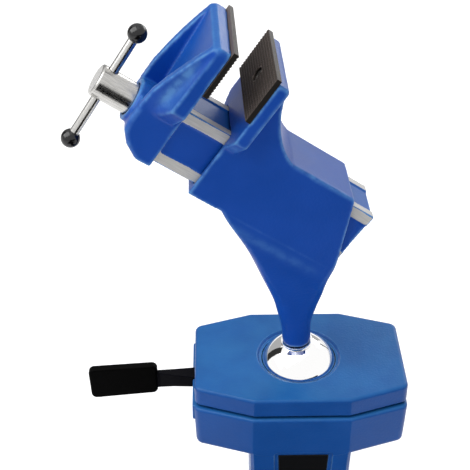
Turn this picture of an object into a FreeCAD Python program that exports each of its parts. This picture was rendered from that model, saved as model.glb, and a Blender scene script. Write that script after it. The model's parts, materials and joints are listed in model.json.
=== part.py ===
import FreeCAD, Part
import math
import os
from FreeCAD import Vector as V

# Suction base vise: a small bench vise on a lockable ball joint, carried by a
# cast column on a suction foot.  Millimetres, +Z up, the foot's middle on the
# bench at the origin, X to the right, the operator at -Y.

# --- overall layout -------------------------------------------------------
PLATE_TOP_Z = 158.0        # top face of the clamp plate above the bench
BALL_DROP = 10.3           # ball centre below that face
BALL_Z = PLATE_TOP_Z - BALL_DROP
BALL_R = 21.0
SEAT_CLEAR = 0.3           # running gap round the ball
HEAD_TILT = 34.3           # jaws leaned back, degrees
HEAD_YAW = 1.7             # head turned on the ball, degrees
STEM_ANGLE = 38.2          # stem against the jaw height, in the head's middle plane
BALL_U, BALL_V = 118.233, -118.474   # ball centre in the head's own frame

# --- jaws and plates (head frame: u back along the spindle, y across, v up)
JAW_W = 50.0
PLATE_H = 23.6
PLATE_T = 3.0
JAW_GAP = 18.0
TOOTH_PITCH = 1.48
TOOTH_DEPTH = 0.45
PLATE_SCREW_R = 1.9
PLATE_SCREW_HEAD_R = 3.4
JAW_TOP_V = 21.8

# --- beam, slide and spindle ---------------------------------------------
BEAM_W = 28.0
BEAM_TOP_V, BEAM_BOT_V = -14.0, -43.4
BEAM_END_U = 84.5
SLIDE_CLEAR = 0.3
STRIP_SIDE_TOP, STRIP_SIDE_BOT, STRIP_TOP_W = 5.7, 5.9, 5.0
PANEL_DEPTH = 0.8
CHANNEL_W = 16.0
SPINDLE_V = -28.5
HEAD_R, HEAD_END_U, SHOULDER_U = 7.5, -57.4, -31.0
SCREW_R, SCREW_END_U = 5.0, 72.0
TOMMY_U, TOMMY_R, TOMMY_BALL_R = -52.6, 2.25, 4.4
TOMMY_HALF, TOMMY_TURN, TOMMY_SHIFT = 28.7, 5.9, -1.6
NUT_U0, NUT_U1 = 9.5, 21.5

# --- fixed body -----------------------------------------------------------
BODY_HALF_W = 17.0
BODY_TOP_V, BODY_BOT_V = -10.0, -48.0
BODY_FRONT_U = 3.0
EAR_T = 6.5
EAR_BOT_V = -11.4

# --- clamp plate and housing ---------------------------------------------
HS_HALF_X, HS_HALF_Y = 55.0, 36.5
HS_FLAT_X, HS_FLAT_Y = 25.0, 27.0
HS_BOT = 37.5              # housing underside below the clamp plate's top face
CP_STEP_X, CP_STEP_Y = 0.5, 1.5          # clamp plate inside the housing's outline
CP_CORNER_X, CP_CORNER_Y = 0.6, 2.0      # and its corners inside the housing's
CP_HALF_X, CP_HALF_Y = HS_HALF_X - CP_STEP_X, HS_HALF_Y - CP_STEP_Y
CP_FLAT_X, CP_FLAT_Y = HS_FLAT_X - CP_CORNER_X, HS_FLAT_Y - CP_CORNER_Y
CP_T = 10.6
CP_GAP = 1.4
HOLE_R, HOLE_DEPTH = 21.9, 1.8
COL_HALF_X, COL_HALF_Y = 26.2, 36.5
COL_TAPER = 2.0
BOLT_R, BOLT_IN, BOLT_Y = 2.5, 14.0, 17.0     # shoulder bolts, from the housing's right side
SPRING_R = 4.0
PRESS_CLEAR = 0.02         # pieces that are pressed or screwed together

# --- suction foot ---------------------------------------------------------
FOOT_R = 56.0
FOOT_RIM_Z0, FOOT_RIM_Z1 = 3.0, 13.5
FOOT_WALL = 6.0
FOOT_TOP_Z = 58.0          # seat of the column
FOOT_ROOF = 6.0
COLUMN_SCREW_R, COLUMN_SCREW_Y = 3.0, 22.5
CUP_R = 57.5
CUP_TOP_Z = 9.8

# --- lock lever -----------------------------------------------------------
PIVOT_IN, PIVOT_DROP = 17.0, 20.5        # from the housing's left side, and below the plate's top
PIVOT_X = PIVOT_IN - HS_HALF_X
PIVOT_R = 2.5
LOCK_ECC, LOCK_ECC_PHASE = 1.0, -17.5
LEVER_W = 8.0
GRIP_T, GRIP_LEN = 4.4, 35.6
GRIP_OUT = 19.6            # sleeve's inner end from the housing's side
GRIP_H0, GRIP_H1 = 18.8, 19.8            # its height at the two ends
GRIP_DROP0, GRIP_DROP1 = 4.9, 7.6        # and its top edge below the plate's top

# --- suction mechanism ----------------------------------------------------
CAM_Z, CAM_SHAFT_R, CAM_R, CAM_E, CAM_PHASE = 38.0, 4.5, 6.5, 2.5, 130.0
CAM_W = 9.0
VAC_X = FOOT_R - 15.5      # inner face of the vacuum lever, clear of the foot
VAC_T, VAC_HUB_R = 5.0, 7.2
VAC_REACH, VAC_GRIP_REACH = 44.0, 70.0


def save(name, shape):
    os.makedirs("parts", exist_ok=True)
    shape.exportStep(os.path.join("parts", name + ".step"))


def poly(points):
    pts = [V(*p) for p in points]
    return Part.makePolygon(pts + [pts[0]])


def prism(points, vec):
    return Part.Face(poly(points)).extrude(V(*vec))


def uv_prism(points, y0, y1):
    """A profile in the head's middle plane, drawn out across the jaws."""
    return prism([(u, y0, v) for u, v in points], (0, y1 - y0, 0))


def box(x0, x1, y0, y1, z0, z1):
    return Part.makeBox(x1 - x0, y1 - y0, z1 - z0, V(x0, y0, z0))


def cyl_u(r, u0, u1, y=0.0, v=SPINDLE_V):
    return Part.makeCylinder(r, u1 - u0, V(u0, y, v), V(1, 0, 0))


def cyl_z(r, z0, z1, x=0.0, y=0.0):
    return Part.makeCylinder(r, z1 - z0, V(x, y, z0), V(0, 0, 1))


def cyl_y(r, y0, y1, x, z):
    return Part.makeCylinder(r, y1 - y0, V(x, y0, z), V(0, 1, 0))


def revolve_z(points):
    return Part.Face(poly([(r, 0, z) for r, z in points])).revolve(V(0, 0, 0), V(0, 0, 1), 360)


def soften(shape, radius, keep):
    """Round the edges that keep() picks, smaller where the full size won't go."""
    edges = [e for e in shape.Edges if keep(e)]
    if not edges:
        return shape
    for r in (radius, radius * 0.6, radius * 0.35):
        try:
            out = shape.makeFillet(r, edges)
            if out.isValid() and out.Volume > 0 and len(out.Solids) == 1:
                return out
        except Exception:
            pass
    return shape


def one(shape):
    return shape.removeSplitter()


def octagon(hx, hy, fx, fy, z):
    return [(-fx, -hy, z), (fx, -hy, z), (hx, -fy, z), (hx, fy, z),
            (fx, hy, z), (-fx, hy, z), (-hx, fy, z), (-hx, -fy, z)]


def loft(sections, ruled=True):
    return Part.makeLoft([poly(s) for s in sections], True, ruled)


def along(edge, vec, tol=0.02):
    if edge.Curve.TypeId != "Part::GeomLine":
        return False
    d = edge.Vertexes[-1].Point.sub(edge.Vertexes[0].Point)
    return d.Length > 1e-6 and d.cross(V(*vec)).Length / d.Length < tol


def place_head(shape):
    """Put a piece drawn in the head's frame onto the ball, leaned and turned."""
    s = shape.copy()
    s.translate(V(-BALL_U, 0, -BALL_V))
    s.rotate(V(0, 0, 0), V(0, 1, 0), HEAD_TILT)
    s.rotate(V(0, 0, 0), V(0, 0, 1), HEAD_YAW)
    s.translate(V(0, 0, BALL_Z))
    return s


# ==========================================================================
# Fixed jaw body with its neck
# ==========================================================================
def rounded_section(lu, lv, ru, rv, hw, r):
    """One cross-section of the neck: a rounded rectangle between two profile points."""
    mid = V((lu + ru) / 2.0, 0, (lv + rv) / 2.0)
    d = V(ru - lu, 0, rv - lv)
    half = d.Length / 2.0
    d.normalize()
    y = V(0, 1, 0)
    r = min(r, half - 0.05, hw - 0.05)

    def at(a, b):
        return mid + d * a + y * b
    k = math.sqrt(0.5)
    edges = []
    corners = [(1, -1), (1, 1), (-1, 1), (-1, -1)]
    for i, (sa, sb) in enumerate(corners):
        ca, cb = sa * (half - r), sb * (hw - r)
        first, last = ((ca, sb * hw), (sa * half, cb)) if sa * sb < 0 else ((sa * half, cb), (ca, sb * hw))
        p0, pm, p1 = at(*first), at(ca + sa * r * k, cb + sb * r * k), at(*last)
        edges.append((p0, pm, p1))
    out = []
    for i, (p0, pm, p1) in enumerate(edges):
        out.append(Part.Arc(p0, pm, p1).toShape())
        nxt = edges[(i + 1) % 4][0]
        out.append(Part.LineSegment(p1, nxt).toShape())
    return Part.Wire(out)


def stem_point(distance, side=0.0):
    """(u, v) on the stem's axis, a distance up from the ball centre."""
    a = math.radians(STEM_ANGLE)
    return (BALL_U - math.sin(a) * distance + math.cos(a) * side,
            BALL_V + math.cos(a) * distance + math.sin(a) * side)


NECK_R = 7.2
NECK_END = BALL_R + 0.4    # end of the neck from the ball's centre
COLLAR_R, BOSS_R = 8.15, 5.6             # chromed ring under the neck, and its spigot in the neck
BOSS_END = NECK_END + 2.2


def fixed_jaw_body():
    f = BODY_FRONT_U
    block = uv_prism([(f, BODY_BOT_V), (f, -18.0), (f, -4.0), (12.0, -4.0), (34.0, BODY_TOP_V),
                      (69.3, BODY_TOP_V), (75.5, -23.5), (83.2, -41.0), (86.0, BODY_BOT_V)],
                     -BODY_HALF_W, BODY_HALF_W)
    block = soften(block, 2.2, lambda e: along(e, (0, 1, 0)) and e.CenterOfMass.x > 60 and e.CenterOfMass.z < -30)
    block = soften(block, 1.4, lambda e: e.CenterOfMass.z > BODY_TOP_V - 0.01 and abs(abs(e.CenterOfMass.y) - BODY_HALF_W) < 0.01
                   or (along(e, (0, 1, 0)) and abs(e.CenterOfMass.x - 69.3) < 0.1))
    # web that carries the ear on the body, hollow-curved behind
    rear = Part.BSplineCurve()
    rear.interpolate([V(f + EAR_T, 0, 19.5), V(12.2, 0, 14.0), V(15.0, 0, 8.0), V(19.4, 0, 1.4),
                      V(25.0, 0, -4.6), V(34.2, 0, BODY_TOP_V)])
    base = Part.makePolygon([V(34.2, 0, BODY_TOP_V), V(34.2, 0, -14.0), V(f, 0, -14.0),
                             V(f, 0, 19.5), V(f + EAR_T, 0, 19.5)])
    face = Part.Face(Part.Wire([rear.toShape()] + base.Edges))
    face.translate(V(0, -BODY_HALF_W, 0))
    web = face.extrude(V(0, 2 * BODY_HALF_W, 0))
    # ear: full jaw width, cut back at 45 degrees to the body below
    h = JAW_W / 2.0
    drop = EAR_BOT_V - (h - BODY_HALF_W)
    ear = prism([(f, -h, JAW_TOP_V), (f, -h, EAR_BOT_V), (f, -BODY_HALF_W, drop), (f, BODY_HALF_W, drop),
                 (f, h, EAR_BOT_V), (f, h, JAW_TOP_V)], (EAR_T, 0, 0))
    ear = soften(ear, 2.4, lambda e: along(e, (0, 1, 0)) and e.CenterOfMass.z > 0 and e.CenterOfMass.x > f + 1)
    ear = soften(ear, 1.2, lambda e: e.CenterOfMass.x > f + EAR_T - 0.1 and abs(e.CenterOfMass.y) > BODY_HALF_W - 0.5)
    # neck
    low = NECK_END
    profile = [(19.0, -46.5, 85.8, -46.5, 16.98, 2.2), (37.0, -57.2, 88.5, -55.0, 16.3, 4.2),
               (50.6, -65.6, 92.0, -61.8, 14.4, 6.2), (66.0, -76.6, 95.8, -68.6, 11.6, 7.6),
               (79.0, -85.9, 98.9, -75.8, 9.6, 8.4), (85.4, -91.6, 101.2, -81.9, 8.7, 8.2)]
    for dist, r in ((low + 12.6, 7.9), (low + 7.0, 7.4), (low, NECK_R)):
        l, rr = stem_point(dist, -r), stem_point(dist, r)
        profile.append((l[0], l[1], rr[0], rr[1], r, r - 0.1))
    neck = Part.makeLoft([rounded_section(*p) for p in profile], True, False)
    body = one(block.fuse([web, ear, neck]))
    # slide way for the beam, open in front and behind
    c = SLIDE_CLEAR
    way = box(-5, BEAM_END_U + 10, -BEAM_W / 2 - c, BEAM_W / 2 + c, BEAM_BOT_V - c, BEAM_TOP_V + c)
    body = body.cut(way)
    # seat of the nut in the floor and its screw from below
    body = body.cut(box(NUT_U0 - 0.02, NUT_U1 + 0.02, -7.52, 7.52, BEAM_BOT_V - 1.8, BEAM_BOT_V + 0.5))
    nu = (NUT_U0 + NUT_U1) / 2.0 - 2.0
    body = body.cut(Part.makeCylinder(2.3, 12, V(nu, 0, -52), V(0, 0, 1)))
    body = body.cut(Part.makeCylinder(4.2, 4.4, V(nu, 0, -50.2), V(0, 0, 1)))
    # tapped hole behind the jaw plate
    body = body.cut(Part.makeCylinder(PLATE_SCREW_R + 0.02, 5.0, V(f - 0.1, 0, PLATE_H / 2), V(1, 0, 0)))
    # bore for the stem stud
    for r, end in ((STUD_R, low + 15), (BOSS_R, BOSS_END)):
        a, b = stem_point(low - 1), stem_point(end + 0.3)
        ax = V(b[0] - a[0], 0, b[1] - a[1])
        body = body.cut(Part.makeCylinder(r + 0.3, ax.Length, V(a[0], 0, a[1]), ax))
    return body


STUD_R = 3.2


def jaw_plate(front, sign):
    """Serrated steel plate; front is its working face, sign +1 for the fixed one."""
    h = JAW_W / 2.0
    n = int(PLATE_H / TOOTH_PITCH)
    pitch = PLATE_H / n
    pts = [(front + sign * PLATE_T, 0.0), (front + sign * PLATE_T, PLATE_H)]
    for i in range(n, 0, -1):
        pts.append((front + sign * TOOTH_DEPTH, i * pitch))
        pts.append((front, (i - 0.5) * pitch))
    pts.append((front + sign * TOOTH_DEPTH, 0.0))
    plate = uv_prism(pts, -h, h)
    start = front - sign * 1.0
    hole = Part.makeCylinder(PLATE_SCREW_R + 0.3, 6.0, V(start, 0, PLATE_H / 2), V(sign, 0, 0))
    sink = Part.makeCylinder(PLATE_SCREW_HEAD_R + 0.1, 3.1, V(start, 0, PLATE_H / 2), V(sign, 0, 0))
    return plate.cut(hole).cut(sink)


def plate_screw(front, sign):
    seat = front + sign * 2.1
    head = Part.makeCylinder(PLATE_SCREW_HEAD_R, 1.5, V(seat - sign * 1.5, 0, PLATE_H / 2), V(sign, 0, 0))
    shank = Part.makeCylinder(PLATE_SCREW_R, 5.2, V(seat - sign * 0.1, 0, PLATE_H / 2), V(sign, 0, 0))
    slot = box(min(seat - sign * 1.6, seat - sign * 0.8), max(seat - sign * 1.6, seat - sign * 0.8), -4, 4,
               PLATE_H / 2 - 0.5, PLATE_H / 2 + 0.5)
    return head.fuse(shank).cut(slot)


# ==========================================================================
# Movable jaw with its beam
# ==========================================================================
BOSS_LIP_U, BOSS_LIP_R = -39.6, 10.2     # front of the spindle's boss, and its radius


def movable_jaw():
    back = -JAW_GAP - PLATE_T
    #        v,    side u, side y, mid u,  mid y, rim u,  rim y
    rows = [(JAW_TOP_V, -25.6, 24.2, -26.0, 23.9, -26.4, 23.6),
            (20.2, -26.6, 25.0, -27.6, 24.4, -28.6, 23.8),
            (12.0, -26.9, 25.0, -28.6, 22.9, -31.4, 22.2),
            (4.0, -27.2, 25.0, -29.2, 21.5, -33.7, 20.9),
            (-5.0, -27.5, 25.0, -29.8, 19.8, -36.0, 18.6),
            (-13.4, -27.9, 25.0, -30.6, 18.2, -37.7, 16.4),
            (-23.0, -29.5, 15.5, -33.0, 15.4, -38.2, 14.9)]
    sections = []
    for v, su, sy, mu, my, ru, ry in rows:
        half = [(back, -sy), (su, -sy), (mu, -my), (ru, -ry)]
        sections.append([(u, y, v) for u, y in half] + [(u, -y, v) for u, y in reversed(half)])
    upper = loft(sections)
    # trough between the two cheeks
    trough = loft([[(-60, -20.4, 24.0), (-28.7, -20.4, 24.0), (-28.7, 20.4, 24.0), (-60, 20.4, 24.0)],
                   [(-60, -10.8, -21.2), (-28.7, -10.8, -21.2), (-28.7, 10.8, -21.2), (-60, 10.8, -21.2)]])
    lower = uv_prism([(-18.7, -14.0), (-18.7, -46.0), (-26.6, -46.4), (-33.2, -42.2), (-37.6, -36.6),
                      (-38.6, -30.0), (-38.0, -21.0), (back, -21.0), (back, -14.0)], -15.5, 15.5)
    lower = soften(lower, 2.2, lambda e: abs(abs(e.CenterOfMass.y) - 15.5) < 0.01 and e.CenterOfMass.x < -24
                   and e.CenterOfMass.z < -24)
    boss = soften(cyl_u(BOSS_LIP_R, BOSS_LIP_U, -26.0), 0.8, lambda e: abs(e.CenterOfMass.x - BOSS_LIP_U) < 0.01)
    w = BEAM_W / 2.0
    beam = box(-19.5, BEAM_END_U, -w, w, BEAM_BOT_V, BEAM_TOP_V)
    beam = soften(beam, 0.5, lambda e: along(e, (1, 0, 0)))
    beam = soften(beam, 0.8, lambda e: abs(e.CenterOfMass.x - BEAM_END_U) < 0.01)
    for s in (-1, 1):
        y0, y1 = sorted((s * (w - PANEL_DEPTH), s * (w + 1)))
        beam = beam.cut(box(-19.0, BEAM_END_U + 1, y0, y1, BEAM_BOT_V + STRIP_SIDE_BOT, BEAM_TOP_V - STRIP_SIDE_TOP))
    beam = beam.cut(box(-19.0, BEAM_END_U + 1, -w + STRIP_TOP_W, w - STRIP_TOP_W, BEAM_TOP_V - PANEL_DEPTH, BEAM_TOP_V + 1))
    jaw = one(upper.cut(trough).fuse([lower, boss, beam]))
    c = CHANNEL_W / 2.0
    jaw = jaw.cut(box(-12.0, BEAM_END_U + 1, -c, c, BEAM_BOT_V - 1, SPINDLE_V + 7.2))
    # spindle bore: wide for the head, stepped down behind it
    jaw = jaw.cut(cyl_u(HEAD_R + SLIDE_CLEAR, BOSS_LIP_U - 1, SHOULDER_U + 1.0))
    jaw = jaw.cut(cyl_u(SCREW_R + SLIDE_CLEAR, -32.0, -11.0))
    jaw = jaw.cut(Part.makeCylinder(PLATE_SCREW_R + 0.02, 5.0, V(back + 0.1, 0, PLATE_H / 2), V(-1, 0, 0)))
    return jaw


def spindle():
    head = cyl_u(HEAD_R, HEAD_END_U, SHOULDER_U)
    head = soften(head, 1.2, lambda e: abs(e.CenterOfMass.x - HEAD_END_U) < 0.01)
    shaft = cyl_u(SCREW_R, SHOULDER_U - 0.5, SCREW_END_U)
    tip = Part.makeCone(SCREW_R, SCREW_R - 1.2, 1.5, V(SCREW_END_U, 0, SPINDLE_V), V(1, 0, 0))
    s = one(head.fuse([shaft, tip]))
    groove = cyl_u(SCREW_R + 1, -11.7, -10.5).cut(cyl_u(SCREW_R - 0.9, -11.8, -10.4))
    s = s.cut(groove)
    d = tommy_dir()
    hole = Part.makeCylinder(TOMMY_R + SLIDE_CLEAR, 24, V(TOMMY_U, 0, SPINDLE_V) - d * 12, d)
    return s.cut(hole)


def tommy_dir():
    a = math.radians(TOMMY_TURN)
    return V(0, math.sin(a), math.cos(a))


def tommy_bar():
    d = tommy_dir()
    mid = V(TOMMY_U, 0, SPINDLE_V) + d * TOMMY_SHIFT
    return Part.makeCylinder(TOMMY_R, 2 * TOMMY_HALF, mid - d * TOMMY_HALF, d)


def tommy_balls():
    d = tommy_dir()
    mid = V(TOMMY_U, 0, SPINDLE_V) + d * TOMMY_SHIFT
    out = []
    for s in (-1, 1):
        ball = Part.makeSphere(TOMMY_BALL_R, mid + d * (s * TOMMY_HALF))
        hole = Part.makeCylinder(TOMMY_R + PRESS_CLEAR, 8, mid + d * (s * (TOMMY_HALF - 8)), d * s)
        out.append(ball.cut(hole))
    return Part.makeCompound(out)


def thrust_washer():
    ring = cyl_u(HEAD_R - 0.1, SHOULDER_U + PRESS_CLEAR, SHOULDER_U + 1.0)
    return ring.cut(cyl_u(SCREW_R + 0.15, SHOULDER_U - 1, SHOULDER_U + 2))


def retaining_ring():
    ring = cyl_u(7.0, -11.6, -10.6).cut(cyl_u(SCREW_R - 0.85, -12, -10))
    return ring.cut(box(-12, -10, -2.4, 2.4, SPINDLE_V - 9, SPINDLE_V - 2))


def spindle_nut():
    c = CHANNEL_W / 2.0 - 0.5
    nut = box(NUT_U0, NUT_U1, -c, c, BEAM_BOT_V - 1.8, SPINDLE_V + 6.8)
    nut = soften(nut, 3.0, lambda e: along(e, (1, 0, 0)) and e.CenterOfMass.z > SPINDLE_V)
    nut = nut.cut(cyl_u(SCREW_R + 0.3, NUT_U0 - 1, NUT_U1 + 1))
    nu = (NUT_U0 + NUT_U1) / 2.0 - 2.0
    return nut.cut(Part.makeCylinder(2.0, 7.6, V(nu, 0, BEAM_BOT_V - 2), V(0, 0, 1)))


def nut_screw():
    nu = (NUT_U0 + NUT_U1) / 2.0 - 2.0
    seat = -45.8
    head = Part.makeCylinder(3.6, 2.0, V(nu, 0, seat - 2.0), V(0, 0, 1))
    shank = Part.makeCylinder(2.0, 7.4, V(nu, 0, seat - 0.1), V(0, 0, 1))
    socket = prism([(nu + 1.6 * math.cos(math.radians(a)), 1.6 * math.sin(math.radians(a)), seat - 2.1)
                    for a in range(0, 360, 60)], (0, 0, 1.2))
    return head.fuse(shank).cut(socket)


# ==========================================================================
# Ball joint
# ==========================================================================
def ball():
    return Part.makeSphere(BALL_R, V(0, 0, BALL_Z))


def stem_stud():
    """Collar that rides on the ball, with the stud that the neck turns on."""
    def at(dist):
        u, v = stem_point(dist)
        return V(u, 0, v)
    start = BALL_R - 3.0
    a, ax = at(start), at(60) - at(0)
    collar = Part.makeCylinder(COLLAR_R, NECK_END - 0.3 - start, a, ax)
    spigot = Part.makeCylinder(BOSS_R, BOSS_END - start, a, ax)
    stud = Part.makeCylinder(STUD_R, NECK_END + 14.5 - start, a, ax)
    s = collar.fuse([spigot, stud]).cut(Part.makeSphere(BALL_R + SEAT_CLEAR, V(BALL_U, 0, BALL_V)))
    return max(one(s).Solids, key=lambda t: t.Volume)


def ball_seat():
    z, r = BALL_Z, BALL_R
    cup = revolve_z([(5.0, z - r - 2.6), (r - 4.0, z - r - 2.6), (r - 2.2, z - r + 0.5), (r - 2.2, z - 10.0), (5.0, z - 10.0)])
    return cup.cut(Part.makeSphere(BALL_R + SEAT_CLEAR, V(0, 0, BALL_Z)))


# ==========================================================================
# Clamp plate and housing
# ==========================================================================
BOLTS = [(HS_HALF_X - BOLT_IN, BOLT_Y), (HS_HALF_X - BOLT_IN, -BOLT_Y)]
SPRINGS = [(x, s * y) for x, y in ((HS_HALF_X - 25.0, HS_HALF_Y - 12.0), (28.0 - HS_HALF_X, HS_HALF_Y - 10.5))
           for s in (1, -1)]
LINK_Y = (4.6, 9.0)
LINK_STUD_R = 2.5


def clamp_plate():
    t = PLATE_TOP_Z
    p = prism(octagon(CP_HALF_X, CP_HALF_Y, CP_FLAT_X, CP_FLAT_Y, t - CP_T), (0, 0, CP_T))
    p = soften(p, 4.5, lambda e: along(e, (0, 0, 1)) and abs(e.CenterOfMass.x) > CP_FLAT_X + 5)
    p = soften(p, 1.5, lambda e: along(e, (0, 0, 1)) and abs(e.CenterOfMass.x) < CP_FLAT_X + 1)
    p = soften(p, 1.8, lambda e: e.CenterOfMass.z > t - 0.05)
    p = soften(p, 0.6, lambda e: e.CenterOfMass.z < t - CP_T + 0.05)
    seat = math.sqrt((BALL_R + SEAT_CLEAR) ** 2 - (BALL_DROP - HOLE_DEPTH) ** 2)
    cone = revolve_z([(0, t - HOLE_DEPTH), (seat, t - HOLE_DEPTH), (seat + 1.3, t - HOLE_DEPTH + 0.2),
                      (HOLE_R - 0.5, t - 0.6), (HOLE_R, t + 0.01), (HOLE_R, t + 1), (0, t + 1)])
    p = p.cut(cone).cut(Part.makeSphere(BALL_R + SEAT_CLEAR, V(0, 0, BALL_Z)))
    p = p.cut(cyl_z(BALL_R + SEAT_CLEAR, t - CP_T - 1, BALL_Z))
    for x, y in BOLTS:
        p = p.cut(cyl_z(BOLT_R + PRESS_CLEAR, t - CP_T - 1, t - 3.5, x, y))
    for s in (-1, 1):
        p = p.cut(cyl_z(LINK_STUD_R + PRESS_CLEAR, t - CP_T - 1, t - 4.0, link_x(), s * sum(LINK_Y) / 2))
    for x, y in SPRINGS:
        p = p.cut(cyl_z(SPRING_R + SEAT_CLEAR, t - CP_T - 1, t - CP_T + 1.2, x, y))
    return p


def link_x():
    return PIVOT_X + LOCK_ECC * math.cos(math.radians(LOCK_ECC_PHASE))


def ecc_z():
    return PLATE_TOP_Z - PIVOT_DROP + LOCK_ECC * math.sin(math.radians(LOCK_ECC_PHASE))


def base_housing():
    t = PLATE_TOP_Z
    z1, z0 = t - CP_T - CP_GAP, t - HS_BOT
    h = loft([octagon(HS_HALF_X - 0.9, HS_HALF_Y, HS_FLAT_X, HS_FLAT_Y, z0),
              octagon(HS_HALF_X, HS_HALF_Y, HS_FLAT_X, HS_FLAT_Y, z1)])
    h = soften(h, 4.5, lambda e: abs(e.CenterOfMass.x) > HS_FLAT_X + 5 and abs(e.CenterOfMass.z - (z0 + z1) / 2) < 1)
    h = soften(h, 1.5, lambda e: e.CenterOfMass.z > z1 - 0.05)
    h = soften(h, 3.2, lambda e: e.CenterOfMass.z < z0 + 0.05 and abs(e.CenterOfMass.x) > HS_FLAT_X)
    pad = box(-HS_HALF_X - 0.8, -HS_HALF_X + 3, -24.5, 24.5, z1 - 9.5, z1 - 0.2)
    pad = soften(pad, 0.7, lambda e: e.CenterOfMass.x < -HS_HALF_X - 0.7)
    body = one(h.fuse([pad, column(FOOT_TOP_Z, z0 + 4)]))
    body = soften(body, 3.0, lambda e: abs(e.CenterOfMass.z - z0) < 0.05 and abs(e.CenterOfMass.x) < COL_HALF_X + 0.3
                  and along(e, (0, 1, 0)))
    # ball pocket and seat
    zc = BALL_Z
    body = body.cut(cyl_z(BALL_R + 1.2, zc - 9.0, z1 + 1)).cut(cyl_z(BALL_R - 2.0, zc - BALL_R - 2.6, z1 + 1))
    # lever slot and room for the links
    pz = t - PIVOT_DROP
    body = body.cut(box(-HS_HALF_X - 5, PIVOT_X + 9, -LEVER_W / 2 - 0.6, LEVER_W / 2 + 0.6, z0 + 3.2, z1 + 1))
    room = LINK_Y[1] + 0.4
    body = body.cut(box(PIVOT_X - 9.0, PIVOT_X + 10.0, -room, room, pz - 9.2, z1 + 1))
    body = body.cut(cyl_y(PIVOT_R + 0.02, -23, 23, PIVOT_X, pz))
    # clearance for the shoulder bolts, counterbored from below
    for x, y in BOLTS:
        body = body.cut(cyl_z(BOLT_R + 0.4, z0 - 1, z1 + 1, x, y)).cut(cyl_z(BOLT_R + 2.9, z0 - 1, z0 + 4.5, x, y))
    for x, y in SPRINGS:
        body = body.cut(cyl_z(SPRING_R + SEAT_CLEAR, z1 - 2.6, z1 + 1, x, y))
    # tapped holes of the screws that hold the foot
    for s in (-1, 1):
        body = body.cut(cyl_z(COLUMN_SCREW_R + PRESS_CLEAR, FOOT_TOP_Z - 1, FOOT_TOP_Z + 10.0, 0, s * COLUMN_SCREW_Y))
    # shallow pocket and seat of the front badge plate
    pocket = prism(label_outline(LABEL_RIM, -1.0), (0, LABEL_SUNK + 1.0, 0))
    body = body.cut(soften(pocket, 2.0, lambda e: along(e, (0, 1, 0))))
    body = body.cut(prism(label_outline(0.25, 0.0), (0, LABEL_SUNK + 0.7, 0)))
    return max(body.Solids, key=lambda s: s.Volume)


def column(low, high):
    """Cast column between two heights, tapering down from the housing."""
    top, knee, foot = PLATE_TOP_Z - HS_BOT + 4, 60.0, 20.0
    a, b = COL_HALF_X, COL_HALF_Y
    at = [(foot, a - COL_TAPER, b - 5.0, 4.0, 4.0), (knee, a - COL_TAPER * 0.7, b - 2.6, 3.0, 3.0), (top, a, b, 1.4, 1.4)]
    full = loft([octagon(x, y, x - cx, y - cy, z) for z, x, y, cx, cy in at])
    return full.common(box(-a - 1, a + 1, -b - 1, b + 1, low, high))


# height and inset from the rim of the bell's outside, and of its hollow
BELL = [(15.2, 5.5), (19.0, 10.0), (24.5, 13.8), (31.0, 16.6), (39.0, 19.4), (46.0, 23.4), (52.0, 29.0)]
BELL_INSIDE = [(-1.0, 0.0), (9.0, 0.0), (14.0, 6.0), (21.0, 13.0), (30.0, 17.5), (44.0, 20.0)]


def base_foot():
    """Bell-shaped foot over the suction cup, with the seat of the column on top."""
    r, z0, z1 = FOOT_R, FOOT_RIM_Z0, FOOT_RIM_Z1
    rim = [(0, z0), (r - 1.2, z0), (r, z0 + 1.2), (r, z1 - 2.5), (r - 0.8, z1 - 0.7), (r - 2.6, z1)]
    bell = revolve_z(rim + [(r - inset, z) for z, inset in BELL] + [(r - 31.0, FOOT_TOP_Z), (0, FOOT_TOP_Z)])
    foot = one(bell.fuse(column(FOOT_RIM_Z1 + 7, FOOT_TOP_Z)))
    ri = r - FOOT_WALL
    hollow = revolve_z([(0, -1.0)] + [(ri - inset, z) for z, inset in BELL_INSIDE] + [(0, 44.0)])
    foot = foot.cut(hollow).cut(cyl_z(17.0, 43.0, FOOT_TOP_Z - FOOT_ROOF))
    for s in (-1, 1):
        foot = foot.cut(cyl_z(COLUMN_SCREW_R + 0.3, 40.0, FOOT_TOP_Z + 1, 0, s * COLUMN_SCREW_Y))
        foot = foot.cut(cyl_z(COLUMN_SCREW_R + 2.4, 38.0, 44.0, 0, s * COLUMN_SCREW_Y))
    # bearing of the cam shaft, open on the right where the lever's hub goes in
    foot = foot.cut(Part.makeCylinder(CAM_SHAFT_R + 0.3, 130, V(21.1 - FOOT_R, 0, CAM_Z), V(1, 0, 0)))
    foot = foot.cut(Part.makeCylinder(VAC_HUB_R + 0.4, 20, V(FOOT_R - 22.2, 0, CAM_Z), V(1, 0, 0)))
    return max(foot.Solids, key=lambda s: s.Volume)


def column_screws():
    """Socket screws from inside the foot up into the column."""
    out = []
    for s in (-1, 1):
        y = s * COLUMN_SCREW_Y
        head = cyl_z(COLUMN_SCREW_R + 2.0, 38.4, 44.0 - PRESS_CLEAR, 0, y)
        shank = cyl_z(COLUMN_SCREW_R, 43.0, FOOT_TOP_Z + 9.0, 0, y)
        socket = prism([(2.9 * math.cos(math.radians(a)), y + 2.9 * math.sin(math.radians(a)), 38.3)
                        for a in range(0, 360, 60)], (0, 0, 3.2))
        out.append(one(head.fuse(shank)).cut(socket))
    return Part.makeCompound(out)


LABEL_W, LABEL_H, LABEL_TOP, LABEL_X = 25.7, 16.0, 37.7, 1.4
LABEL_RIM, LABEL_SUNK = 2.4, 0.8           # shallow pocket round the plate


def column_face(z):
    """Y of the column's front face at a height."""
    top, knee = PLATE_TOP_Z - HS_BOT + 4, 60.0
    return -COL_HALF_Y + 2.6 * (top - z) / (top - knee)


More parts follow.
